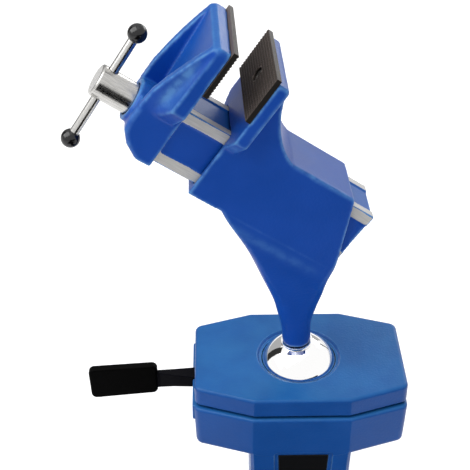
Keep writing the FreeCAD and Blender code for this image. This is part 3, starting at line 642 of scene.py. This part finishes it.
@dataclass(frozen=True)
class SerratedSteel:
    """Oil-blackened tool steel of the jaw plates, brown-grey on the teeth, as worn steel and as a painted
    lit side.
    """

    name: str = "serrated_steel"
    dark: Colour = (0.012, 0.010, 0.009)
    # colour of the teeth's lit faces: worn steel and painted light
    rubbed_and_lit: Colour = (0.190, 0.148, 0.130)
    worn: float = 1.7
    gloss: float = 0.3
    rough: Tuple[float, float] = (0.42, 0.58)
    metallic: Tuple[float, float] = (0.16, 0.28)
    grain: float = 1400.0
    depth: float = 0.04 * MM
    relief: float = 0.4
    edge_radius: float = 0.25 * MM
    edge_gain: float = 5.0
    wear_scale: float = 900.0
    wear_and_highlight: float = 0.6

    def build(self, kit: ShaderKit) -> Material:
        """Builds the material: faces that turn to the front or up stay dark and the teeth's other faces
        take the brown-grey, a painted lit side as well as worn steel.

        Args:
            kit: the shared groups.

        Returns:
            The material.
        """
        d = Dressing(self.name, kit, Specular_IOR_Level=self.gloss)
        g = d.g
        edge = d.edges(self.edge_radius, self.edge_gain)
        cloud = g.noise(d.place, self.grain, 4.0)
        _, y, z = g.facing()
        # which way a face turns picks a painted lit or shaded side
        off_front = g.times(g.span(y, -0.85, -0.15), g.span(cloud, 0.3, 0.7, 0.75, 1.0))
        off_top = g.span(z, 0.55, 0.8, 1.0, 0.1)
        colour = g.blend(g.times(off_front, off_top), self.dark, self.rubbed_and_lit)
        # edges lighter still: worn steel and a painted highlight
        colour = g.blend(d.wear_and_highlight(edge, self.wear_scale, self.wear_and_highlight), colour, toned(self.rubbed_and_lit, self.worn))
        return d.wire(
            Base_Color=colour,
            Roughness=g.span(cloud, 0.3, 0.7, *self.rough),
            Metallic=g.span(cloud, 0.2, 0.8, *self.metallic),
            Normal=d.bump(cloud, self.depth, self.relief, edge),
        )


@dataclass(frozen=True)
class MouldedBlack:
    """Black plastic, satin paint or rubber with a fine moulded grain."""

    name: str
    colour: Colour
    rough: float
    grain: float = 2500.0
    depth: float = 0.03 * MM
    relief: float = 0.35
    # edge colour: worn edges and a painted edge highlight
    edge_colour: Colour = (0.05, 0.05, 0.052)
    edge_radius: float = 0.6 * MM
    edge_gain: float = 5.0
    gloss: float = 0.5
    spread: float = 1.25
    wear_scale: float = 400.0
    wear_and_highlight: float = 0.7
    dust_colour: Colour = (0.35, 0.34, 0.33)
    dust_and_top_light: float = 0.008

    def build(self, kit: ShaderKit) -> Material:
        """Builds the material.

        Args:
            kit: the shared groups.

        Returns:
            The material.
        """
        d = Dressing(self.name, kit, Specular_IOR_Level=self.gloss)
        g = d.g
        edge = d.edges(self.edge_radius, self.edge_gain)
        cloud = g.noise(d.place, self.grain, 3.0)
        # edges lighter: worn and a painted highlight
        colour = g.blend(d.wear_and_highlight(edge, self.wear_scale, self.wear_and_highlight), self.colour, self.edge_colour)
        colour = g.blend(d.dust_and_top_light(self.dust_and_top_light), colour, self.dust_colour)
        rough = g.span(cloud, 0.3, 0.7, self.rough, self.rough * self.spread)
        normal = d.bump(cloud, self.depth, self.relief, edge)
        return d.wire(Base_Color=colour, Roughness=rough, Normal=normal)


class Finishes:
    """Every finish of the vise, built once."""

    def __init__(self) -> None:
        """Builds the shared groups and the materials."""
        kit = ShaderKit()
        recipes = (
            BlueEnamel(),
            # the same enamel painted darker on the base: painted shade, with more painted light from above
            BlueEnamel("base_enamel", (0.001, 0.066, 0.305), (0.002, 0.078, 0.350), top_light=0.20),
            MilledBeam(),
            SerratedSteel(),
            TurnedMetal("chrome_steel", (0.99, 0.985, 0.98), 0.03, 0.02, 0.985, depth=0.001 * MM),
            TurnedMetal("turned_steel", (0.66, 0.65, 0.63), 0.16, 0.12, 0.82, depth=0.02 * MM),
            TurnedMetal("spindle_steel", (0.58, 0.57, 0.55), 0.16, 0.14, 0.80, depth=0.02 * MM),
            TurnedMetal("zinc_steel", (0.56, 0.56, 0.55), 0.24, 0.12, 0.85),
            TurnedMetal("bronze", (0.50, 0.34, 0.16), 0.30, 0.10, 0.85),
            TurnedMetal("screw_steel", (0.20, 0.19, 0.18), 0.22, 0.10, 0.80),
            MouldedBlack("black_plastic", (0.004, 0.004, 0.005), 0.08, 1500.0, 0.01 * MM, 0.1),
            MouldedBlack(
                "black_grip", (0.0012, 0.0012, 0.0012), 0.40, edge_colour=(0.028, 0.024, 0.020), gloss=0.02
            ),
            MouldedBlack(
                "black_steel", (0.002, 0.002, 0.004), 0.32, 900.0, 0.05 * MM, 0.4,
                edge_colour=(0.03, 0.034, 0.05), edge_radius=0.4 * MM, gloss=0.04,
            ),
            MouldedBlack("badge_black", (0.006, 0.006, 0.007), 0.34, 3000.0, 0.02 * MM, 0.25, gloss=0.14),
            MouldedBlack(
                "black_rubber", (0.020, 0.020, 0.021), 0.52, 1800.0, 0.05 * MM, 0.5,
                edge_colour=(0.07, 0.07, 0.07),
            ),
        )
        self.all: Dict[str, Material] = {recipe.name: recipe.build(kit) for recipe in recipes}

    def __getitem__(self, name: str) -> Material:
        """The finish of that name."""
        return self.all[name]


# --- meshes -----------------------------------------------------------------
def dress(node: Object, material: Material) -> None:
    """Gives every material slot of an object one finish.

    Args:
        node: the object.
        material: the finish.
    """
    if not node.data.materials:
        node.data.materials.append(material)
    for slot in node.material_slots:
        slot.material = material


def object_from(name: str, bm: bmesh.types.BMesh) -> Object:
    """Turns a bmesh into an object at the origin, and frees it.

    Args:
        name: the object's name.
        bm: the bmesh.

    Returns:
        The object, in the scene.
    """
    mesh = bpy.data.meshes.new(name)
    bm.to_mesh(mesh)
    bm.free()
    made = bpy.data.objects.new(name, mesh)
    bpy.context.scene.collection.objects.link(made)
    return made


def merged_copy(name: str, source: Object) -> Object:
    """Copies a modelled solid, with its loose triangles joined into one skin.

    Args:
        name: the copy's name.
        source: the solid.

    Returns:
        The copy.
    """
    bm = bmesh.new()
    bm.from_mesh(source.data)
    bmesh.ops.remove_doubles(bm, verts=bm.verts, dist=MERGE_WITHIN)
    return object_from(name, bm)


def sheet(name: str, half: float, place: Matrix) -> Object:
    """Makes a flat square.

    Args:
        name: its name.
        half: half its side.
        place: where its mesh goes.

    Returns:
        The square, at the origin.
    """
    bm = bmesh.new()
    bmesh.ops.create_grid(bm, x_segments=1, y_segments=1, size=half)
    bmesh.ops.transform(bm, matrix=place, verts=bm.verts)
    return object_from(name, bm)


def bake(made: Object) -> None:
    """Turns an object's modifiers into its mesh.

    Args:
        made: the object.
    """
    graph = bpy.context.evaluated_depsgraph_get()
    mesh = bpy.data.meshes.new_from_object(made.evaluated_get(graph))
    made.modifiers.clear()
    old, made.data = made.data, mesh
    bpy.data.meshes.remove(old)
    mesh.name = made.name


# --- pieces -----------------------------------------------------------------
@dataclass
class JawPlate:
    """A serrated steel plate: a body with its screw's hole, and rows of square teeth.

    face is where its toothed face stands along the spindle, and clear is the
    share of a tooth's width that stays free round the hole.
    """

    side: Side
    face: float
    width: float = 50.0 * MM
    height: float = 23.6 * MM
    thick: float = 3.0 * MM
    tooth: float = 0.7 * MM
    columns: int = 30
    rows: int = 14
    hole: float = 3.5 * MM
    clear: float = 0.45

    def place(self) -> Matrix:
        """Finds where the plate goes.

        Returns:
            The matrix that takes a plate drawn flat, teeth up, to its jaw.
        """
        back = -self.side.value
        axes = Matrix(((0, 0, back, self.face), (1, 0, 0, 0), (0, 1, 0, self.height / 2), (0, 0, 0, 1)))
        if self.side is Side.MOVABLE:
            axes = axes @ Matrix.Diagonal((-1.0, 1.0, 1.0, 1.0))
        return HEAD.matrix() @ axes

    def body(self) -> Object:
        """Builds the plate below its teeth, with the screw's hole through it.

        Returns:
            The body, drawn flat.
        """
        slab = bmesh.new()
        bmesh.ops.create_cube(slab, size=1.0)
        bmesh.ops.scale(slab, verts=slab.verts, vec=(self.width, self.height, self.thick - self.tooth))
        bmesh.ops.translate(slab, verts=slab.verts, vec=(0, 0, -(self.thick + self.tooth) / 2))
        body = object_from("plate_body", slab)
        drill = bmesh.new()
        bmesh.ops.create_cone(
            drill, cap_ends=True, segments=ROUND_SIDES,
            radius1=self.hole, radius2=self.hole, depth=self.thick * 3,
        )
        tool = object_from("plate_hole", drill)
        cutter = body.modifiers.new("hole", "BOOLEAN")
        cutter.operation, cutter.object, cutter.solver = "DIFFERENCE", tool, "EXACT"
        bake(body)
        bpy.data.objects.remove(tool)
        return body

    def sizes(self) -> Dict[str, Tuple[str, object]]:
        """Lists the teeth's sizes.

        Returns:
            Socket type and value by input name.
        """
        lengths = {"Width": self.width, "Height": self.height, "Depth": self.tooth, "Hole": self.hole}
        sizes = {key: (FLOAT, value) for key, value in lengths.items()}
        sizes.update({"Columns": (WHOLE, self.columns), "Rows": (WHOLE, self.rows)})
        return sizes

    def spots(self, g: Graph, src: bpy.types.NodeOutputs, pitch_x: Socket, pitch_y: Socket) -> Socket:
        """Lays out the teeth's middles on a grid, leaving the screw's hole free.

        Args:
            g: the tree being wired.
            src: the tree's inputs.
            pitch_x: a tooth's width.
            pitch_y: a tooth's height.

        Returns:
            The points.
        """
        feeds = {
            "Size X": g.math("SUBTRACT", src["Width"], pitch_x),
            "Size Y": g.math("SUBTRACT", src["Height"], pitch_y),
            "Vertices X": src["Columns"],
            "Vertices Y": src["Rows"],
        }
        grid = g.add("GeometryNodeMeshGrid", feeds).outputs[0]
        where = g.add("GeometryNodeInputPosition").outputs[0]
        reach = g.add("ShaderNodeVectorMath", {0: where}, operation="LENGTH").outputs["Value"]
        rim = g.math("ADD", src["Hole"], g.times(pitch_x, self.clear))
        near = g.add("FunctionNodeCompare", {0: reach, 1: rim}, data_type="FLOAT", operation="LESS_THAN")
        drop = {"Geometry": grid, "Selection": near.outputs[0]}
        return g.add("GeometryNodeDeleteGeometry", drop, domain="POINT").outputs[0]

    def pyramid(self, g: Graph) -> Socket:
        """Makes one square pyramid, a unit wide and high.

        Args:
            g: the tree being wired.

        Returns:
            The pyramid, with its sides along the grid.
        """
        feeds = {"Vertices": 4, "Radius Top": 0.0, "Radius Bottom": math.sqrt(0.5), "Depth": 1.0}
        cone = g.add("GeometryNodeMeshCone", feeds, fill_type="NONE").outputs[0]
        turn = {"Geometry": cone, "Rotation": (0.0, 0.0, math.pi / 4)}
        return g.add("GeometryNodeTransform", turn).outputs[0]

    def teeth_tree(self) -> Tree:
        """Makes the geometry nodes that set a pyramid on every spot.

        Returns:
            The tree, with the teeth's sizes and material as inputs.
        """
        inputs = {"Geometry": (GEOMETRY, None), **self.sizes(), "Material": ("NodeSocketMaterial", None)}
        g, src, out = node_tree("square_teeth", inputs, {"Geometry": GEOMETRY}, "GeometryNodeTree")
        pitch_x = g.math("DIVIDE", src["Width"], src["Columns"])
        pitch_y = g.math("DIVIDE", src["Height"], src["Rows"])
        feeds = {
            "Points": self.spots(g, src, pitch_x, pitch_y),
            "Instance": self.pyramid(g),
            "Scale": g.vector(pitch_x, pitch_y, src["Depth"]),
        }
        teeth = g.add("GeometryNodeInstanceOnPoints", feeds).outputs[0]
        teeth = g.add("GeometryNodeRealizeInstances", {0: teeth}).outputs[0]
        down = g.vector(0.0, 0.0, g.times(src["Depth"], -1.0))
        teeth = g.add("GeometryNodeSetPosition", {"Geometry": teeth, "Offset": down}).outputs[0]
        painted = g.add("GeometryNodeSetMaterial", {"Geometry": teeth, "Material": src["Material"]})
        g.link(painted.outputs[0], out["Geometry"])
        return g.tree

    def build(self, name: str, material: Material) -> Object:
        """Builds the plate.

        Args:
            name: the piece's name.
            material: its finish.

        Returns:
            The plate, at the origin, with its place in its mesh.
        """
        made = object_from(name, bmesh.new())
        modifier = made.modifiers.new("teeth", "NODES")
        modifier.node_group = self.teeth_tree()
        sockets = modifier.node_group.interface.items_tree
        ids = {socket.name: socket.identifier for socket in sockets if socket.in_out == "INPUT"}
        for key, (_, value) in self.sizes().items():
            modifier[ids[key]] = value
        modifier[ids["Material"]] = material
        bake(made)
        body = self.body()
        bm = bmesh.new()
        bm.from_mesh(made.data)
        bm.from_mesh(body.data)
        bmesh.ops.transform(bm, matrix=self.place(), verts=bm.verts)
        bmesh.ops.remove_doubles(bm, verts=bm.verts, dist=MERGE_WITHIN)
        bmesh.ops.recalc_face_normals(bm, faces=bm.faces)
        bm.to_mesh(made.data)
        bm.free()
        bpy.data.objects.remove(body)
        dress(made, material)
        return made


@dataclass
class PlateScrew:
    """A countersunk screw with a six-sided socket, sunk below its jaw plate's face.

    rim is how far down its countersink starts, edge and bevel are the height
    and width of its small edges, and flare widens the socket's mouth.
    """

    plate: JawPlate
    radius: float = 3.1 * MM
    core: float = 1.7 * MM
    sunk: float = 1.5 * MM
    thick: float = 1.4 * MM
    rim: float = 0.35 * MM
    edge: float = 0.1 * MM
    bevel: float = 0.2 * MM
    socket: float = 1.45 * MM
    socket_deep: float = 1.0 * MM
    flare: float = 1.12

    def rings(self) -> List[List[Point]]:
        """Works out the head's rings, from its underside to the socket's floor.

        Returns:
            The points of each ring, drawn flat.
        """
        outside = (
            (self.core, -self.thick),
            (self.radius, -self.rim),
            (self.radius, -self.edge),
            (self.radius - self.bevel, 0.0),
        )
        inside = (
            (self.socket * self.flare, 0.0),
            (self.socket, -self.edge),
            (self.socket, -self.socket_deep),
        )
        rings = []
        for radius, height in outside + inside:
            ring = []
            for i in range(ROUND_SIDES):
                a = 2.0 * math.pi * i / ROUND_SIDES
                off = (a + math.pi / 6) % (math.pi / 3) - math.pi / 6
                reach = radius / math.cos(off) if len(rings) >= len(outside) else radius
                ring.append((reach * math.cos(a), reach * math.sin(a), height - self.sunk))
            rings.append(ring)
        return rings

    def build(self, name: str, material: Material) -> Object:
        """Builds the screw.

        Args:
            name: the piece's name.
            material: its finish.

        Returns:
            The screw's head, at the origin, with its place in its mesh.
        """
        bm = bmesh.new()
        loops = [[bm.verts.new(point) for point in ring] for ring in self.rings()]
        for low, high in zip(loops, loops[1:]):
            for i in range(ROUND_SIDES):
                after = (i + 1) % ROUND_SIDES
                bm.faces.new((low[i], low[after], high[after], high[i]))
        bm.faces.new(list(reversed(loops[0])))
        bm.faces.new(loops[-1])
        bmesh.ops.transform(bm, matrix=self.plate.place(), verts=bm.verts)
        bmesh.ops.recalc_face_normals(bm, faces=bm.faces)
        made = object_from(name, bm)
        dress(made, material)
        return made


@dataclass(frozen=True)
class Sheen:
    """A painted highlight: a straight band on a casting's outer faces painted lighter.

    start and end are the ends, in u and v, of the line that it follows. line
    and band say how light that line and the broad band under it are, from 0
    to 1. offset is the band's middle below the line, width its softness, and
    inner and outer bound it across the jaws. thin is the line's softness, and
    ends the share of its length over which it fades in and out.
    """

    start: Tuple[float, float]
    end: Tuple[float, float]
    line: float
    band: float
    offset: float
    width: float
    inner: float = 0.0
    outer: float = 1.0
    thin: float = 0.6 * MM
    ends: float = 0.25

    def at(self, place: Vector, facing: Vector) -> float:
        """Says how strong the painted highlight is somewhere.

        Args:
            place: the place, in the head's frame.
            facing: which way the skin faces there, in the head's frame.

        Returns:
            The lightness, from 0 to 1.
        """
        if facing.y * place.y < 0.0 or not self.inner <= abs(place.y) <= self.outer:
            return 0.0
        run = math.dist(self.start, self.end)
        along = ((self.end[0] - self.start[0]) / run, (self.end[1] - self.start[1]) / run)
        du, dv = place.x - self.start[0], place.z - self.start[1]
        reach = (du * along[0] + dv * along[1]) / run
        below = du * along[1] - dv * along[0]
        fade = clamped(reach / self.ends) * clamped((1.0 - reach) / self.ends)
        line = self.line * math.exp(-((below / self.thin) ** 2))
        return fade * max(line, self.band * math.exp(-(((below - self.offset) / self.width) ** 2)))


@dataclass
class Casting:
    """A sand-cast piece: its corners drawn round by the mould and filled by the paint.

    grain is the size of the skin's facets, rounds how often its corners are
    drawn and draw how far each time. Behind milled_from the beam is crisp, and
    in front of boss_to the boss gives way less than the rest. A point that
    stands more than raised_from facets proud has thinner paint, drawn lighter
    with a painted highlight along ridges; raised_gain says how soon, and
    evened how often that is smoothed.
    """

    node: str
    body: Body
    finish: str
    grain: float = 0.6 * MM
    rounds: int = 6
    draw: float = 0.5
    milled_from: float = 1.0
    crisp: float = 0.12
    boss_to: float = -1.0
    boss_give: float = 0.35
    raised_from: float = 0.018
    raised_gain: float = 14.0
    evened: int = 2
    sheens: Tuple[Sheen, ...] = ()

    def weigh(self, made: Object) -> None:
        """Marks how much each point of the skin gives way, by its place along the spindle.

        Args:
            made: the casting.
        """
        inverse = HEAD.matrix().inverted()
        group = made.vertex_groups.new(name="cast")
        for vertex in made.data.vertices:
            u = (inverse @ vertex.co).x
            give = self.crisp if u > self.milled_from else self.boss_give if u < self.boss_to else 1.0
            group.add([vertex.index], give, "REPLACE")

    def raised(self, made: Object) -> List[float]:
        """Measures how proud of its neighbours each point of the skin stands.

        Args:
            made: the casting.

        Returns:
            The heights, in facets.
        """
        bm = bmesh.new()
        bm.from_mesh(made.data)
        bm.normal_update()
        heights = []
        for vertex in bm.verts:
            around = [e.other_vert(vertex).co for e in vertex.link_edges]
            middle = sum(around, Vector()) / max(len(around), 1)
            heights.append((vertex.co - middle).dot(vertex.normal) / self.grain)
        for _ in range(self.evened):
            near = [sum(heights[e.other_vert(v).index] for e in v.link_edges) for v in bm.verts]
            heights = [(heights[v.index] + near[v.index]) / (1 + len(v.link_edges)) for v in bm.verts]
        bm.free()
        return heights

    def mark_thin_paint_and_highlights(self, made: Object) -> None:
        """Stores where the paint is thinner and where a highlight is painted.

        Args:
            made: the casting.
        """
        heights = self.raised(made)
        inverse = HEAD.matrix().inverted()
        turn = inverse.to_3x3()
        places = [(inverse @ v.co, turn @ v.normal) for v in made.data.vertices]
        # painted highlight bands
        light = [max((s.at(*place) for s in self.sheens), default=0.0) for place in places]
        # raised points lighter: thin paint, and a painted highlight along ridges
        thin = [clamped((height - self.raised_from) * self.raised_gain) for height in heights]
        store = made.data.attributes.new(THIN_PAINT_AND_HIGHLIGHT, "FLOAT", "POINT")
        store.data.foreach_set("value", [max(pair) for pair in zip(light, thin)])

    def build(self, source: Object, material: Material) -> Object:
        """Builds the casting.

        Args:
            source: the modelled solid.
            material: its finish.

        Returns:
            The softened casting, at the origin.
        """
        made = merged_copy(f"{self.node}_cast", source)
        skin = made.modifiers.new("skin", "REMESH")
        skin.mode, skin.voxel_size, skin.adaptivity, skin.use_smooth_shade = "VOXEL", self.grain, 0.0, True
        bake(made)
        self.weigh(made)
        smooth = made.modifiers.new("draw", "SMOOTH")
        smooth.factor, smooth.iterations, smooth.vertex_group = self.draw, self.rounds, "cast"
        bake(made)
        made.vertex_groups.clear()
        self.mark_thin_paint_and_highlights(made)
        dress(made, material)
        return made


@dataclass
class Diaphragm:
    """The rubber suction disc, copied whole from its modelled solid."""

    node: str = "suction_cup"
    lip_top: float = 4.4 * MM
    dome_under: float = 5.4 * MM

    def build(self, source: Object, material: Material) -> Object:
        """Builds the disc.

        Args:
            source: the modelled solid.
            material: its finish.

        Returns:
            The disc, at the origin.
        """
        made = merged_copy("suction_disc", source)
        dress(made, material)
        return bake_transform(made)


# --- surroundings -----------------------------------------------------------
@dataclass
class Studio:
    """White floor and surroundings, soft lamps and the camera.

    The camera's angles are in degrees. The lamps and the upright cards face
    aim. Where they are seen, the floor is lifted by floor_lift and the world
    is plain white, and ambient is how strongly the world lights the rest.
    """

    camera_at: Point = (-0.04141, -0.42954, 0.53437)
    look_down: float = 34.858
    look_round: float = -1.063
    lens: float = 82.77
    sensor: float = 36.0
    sight: float = 60.0
    aim: Point = (0.0, 0.0, 0.2)
    floor_half: float = 12.0
    floor_drop: float = 0.2 * MM
    floor_tone: float = 0.9
    floor_rough: float = 0.9
    floor_lift: float = 0.42
    ambient: float = 0.38

    def camera(self) -> None:
        """Makes the camera."""
        data = bpy.data.cameras.new("camera")
        data.sensor_width, data.lens, data.clip_end = self.sensor, self.lens, self.sight
        made = bpy.data.objects.new("camera", data)
        made.location = self.camera_at
        made.rotation_euler = (math.radians(90.0 - self.look_down), 0.0, math.radians(self.look_round))
        bpy.context.scene.collection.objects.link(made)
        bpy.context.scene.camera = made

    def floor(self) -> None:
        """Makes the matt white floor, which keeps the vise's shadow where it is seen."""
        tone = (self.floor_tone, self.floor_tone, self.floor_tone, 1.0)
        material, shader = plain_material(
            "floor_white", Base_Color=tone, Roughness=self.floor_rough,
            Specular_IOR_Level=0.0, Emission_Color=WHITE,
        )
        g = Graph(material.node_tree)
        g.link(g.times(g.seen(), self.floor_lift), shader.inputs["Emission Strength"])
        made = sheet("floor", self.floor_half, Matrix())
        dress(made, material)
        made.location = (0.0, 0.0, -self.floor_drop)

    def world(self) -> None:
        """Makes the world, white where it is seen and softer where it lights."""
        world = bpy.data.worlds.new("studio")
        bpy.context.scene.world = world
        world.use_nodes = True
        g = Graph(world.node_tree)
        back = world.node_tree.nodes["Background"]
        back.inputs["Color"].default_value = WHITE
        g.link(g.math("MULTIPLY_ADD", g.seen(), 1.0 - self.ambient, self.ambient), back.inputs["Strength"])

    def turned(self, at: Point, axis: str) -> Quaternion:
        """The turn that points an axis of a thing at the vise."""
        return (Vector(self.aim) - Vector(at)).to_track_quat(axis, "Y")

    def lamp(self, name: str, at: Point, size: Size, power: float, mirrored: bool = True) -> None:
        """Adds a soft lamp that faces the vise.

        Args:
            name: the lamp's name.
            at: where it stands.
            size: its width and height.
            power: its power in watts.
            mirrored: whether it shows in polished surfaces.
        """
        data = bpy.data.lights.new(name, "AREA")
        data.shape, data.size, data.size_y, data.energy = "RECTANGLE", size[0], size[1], power
        made = bpy.data.objects.new(name, data)
        made.location = at
        made.rotation_euler = self.turned(at, "-Z").to_euler()
        made.visible_glossy = mirrored
        bpy.context.scene.collection.objects.link(made)

    def card(self, name: str, at: Point, size: Size, shade: float, flat: bool = False) -> None:
        """Adds a plain card that only shows in polished and painted surfaces.

        Args:
            name: the card's name.
            at: where it stands.
            size: its width and height.
            shade: how light it shows.
            flat: whether it lies on the floor.
        """
        turn = Matrix() if flat else self.turned(at, "Z").to_matrix().to_4x4()
        place = Matrix.Translation(at) @ turn @ Matrix.Diagonal((size[0], size[1], 1.0, 1.0))
        made = sheet(name, 0.5, place)
        material, _ = plain_material(
            name, Base_Color=(0.0, 0.0, 0.0, 1.0), Specular_IOR_Level=0.0,
            Emission_Color=WHITE, Emission_Strength=shade,
        )
        dress(made, material)
        made.visible_camera = made.visible_diffuse = made.visible_shadow = False

    def build(self) -> None:
        """Builds the whole surroundings."""
        bpy.context.scene.view_settings.view_transform = "Standard"
        self.camera()
        self.floor()
        self.world()
        self.lamp("key_softbox", (-1.0, -0.3, 1.95), (1.8, 1.5), 26.0)
        self.lamp("top_softbox", (0.1, -0.1, 2.2), (1.4, 1.2), 3.0)
        self.lamp("rim_softbox", (0.42, 0.68, 0.52), (0.6, 0.22), 1.75)
        self.lamp("front_softbox", (0.1, -2.2, 1.2), (1.2, 0.8), 7.0, mirrored=False)
        self.card("light_left", (-1.25, -0.15, 1.0), (1.0, 0.5), 4.5)
        self.card("grey_wall", (-0.6, 1.9, 0.7), (4.75, 1.8), 0.42)
        self.card("near_floor_card", (0.0, -0.19, 0.001), (0.17, 0.28), 0.0, flat=True)
        self.card("far_floor_card", (0.05, -0.95, 0.001), (0.8, 1.24), 0.0, flat=True)
        self.card("dark_front", (0.55, -1.25, 0.2), (1.6, 0.5), 0.01)
        self.card("dark_left", (-1.02, 0.60, 0.62), (0.40, 1.0), 0.03)
        self.card("dark_right", (0.85, 0.92, 0.35), (0.07, 0.7), 0.12)


# --- the vise ---------------------------------------------------------------
SPECIAL_FINISHES = {
    "movable_jaw": "milled_beam",
    "spindle": "spindle_steel",
    "tommy_bar": "turned_steel",
    "base_housing": "base_enamel",
    "clamp_plate": "base_enamel",
    "base_foot": "base_enamel",
}


@dataclass
class Vise:
    """The dressed vise: its finishes, its modelled solids by name and how far its jaws stand open."""

    finishes: Finishes
    nodes: Dict[str, Object]
    opening: float = 18.0 * MM

    def carry_over(self, record: dict) -> None:
        """Dresses every modelled solid in its slot's finish, or in its special one.

        Args:
            record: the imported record.
        """
        slots = {part["node"]: part["material_slot"] for part in record["subparts"]}
        for name, node in sorted(self.nodes.items()):
            finish = SPECIAL_FINISHES.get(name, slots[name])
            dress(node, self.finishes[finish])
            LOG.info("%s: %s", name, finish)

    def show(self, piece: Object, stands_for: str, body: Optional[Body] = None) -> None:
        """Puts a piece in the place of a modelled solid and reports it.

        Args:
            piece: the piece.
            stands_for: the solid's name.
            body: the body that it rides on, if any.
        """
        if body is not None:
            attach(piece, body.value)
        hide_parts(stands_for)
        LOG.info("%s: %d faces", piece.name, len(piece.data.polygons))

    def plates(self) -> None:
        """Builds both serrated plates and their screws."""
        jaws = ((Side.FIXED, 0.0, Body.HEAD), (Side.MOVABLE, -self.opening, Body.MOVING_JAW))
        for side, face, body in jaws:
            jaw = side.name.lower()
            shape = JawPlate(side, face)
            plate = shape.build(f"{jaw}_jaw_plate_teeth", self.finishes["serrated_steel"])
            screw = PlateScrew(shape).build(f"{jaw}_jaw_plate_socket_screw", self.finishes["screw_steel"])
            self.show(plate, f"{jaw}_jaw_plate", body)
            self.show(screw, f"{jaw}_plate_screw", body)

    def jaw_casting(self) -> Casting:
        """The movable jaw and its beam, with a painted highlight in the flutes of its cheeks.

        Returns:
            The casting, to be built.
        """
        flute = Sheen(
            (-28.6 * MM, 13.0 * MM), (-30.0 * MM, -20.0 * MM), line=0.0, band=0.9,
            offset=2.0 * MM, width=2.1 * MM, inner=13.0 * MM, outer=23.4 * MM,
        )
        return Casting(
            "movable_jaw", Body.MOVING_JAW, "milled_beam",
            milled_from=-18.4 * MM, boss_to=-37.0 * MM, sheens=(flute,),
        )

    def body_casting(self) -> Casting:
        """The fixed jaw's body, with painted highlights under the neck's fold and under the jaw's ears.

        Returns:
            The casting, to be built.
        """
        fold = Sheen(
            (19.0 * MM, -47.6 * MM), (84.0 * MM, -47.6 * MM), line=0.14, band=0.26,
            offset=5.6 * MM, width=2.3 * MM,
        )
        ear = Sheen(
            (0.0, -18.5 * MM), (14.0 * MM, -13.0 * MM), line=0.0, band=0.55,
            offset=0.0, width=2.6 * MM, inner=17.3 * MM, outer=24.4 * MM,
        )
        return Casting("fixed_jaw_body", Body.HEAD, "blue_enamel", grain=0.63 * MM, sheens=(fold, ear))

    def castings(self) -> None:
        """Builds the head's two castings."""
        for cast in (self.jaw_casting(), self.body_casting()):
            made = cast.build(self.nodes[cast.node], self.finishes[cast.finish])
            self.show(made, cast.node, cast.body)

    def disc(self) -> None:
        """Builds the suction disc."""
        shape = Diaphragm()
        made = shape.build(self.nodes[shape.node], self.finishes["black_rubber"])
        self.show(made, shape.node)


def main() -> None:
    """Builds the scene and reports each piece."""
    logging.basicConfig(level=logging.INFO, format="%(name)s %(message)s")
    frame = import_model()
    Studio().build()
    vise = Vise(Finishes(), frame["nodes"])
    vise.carry_over(frame["record"])
    vise.plates()
    vise.castings()
    vise.disc()


if __name__ == "__main__":
    main()
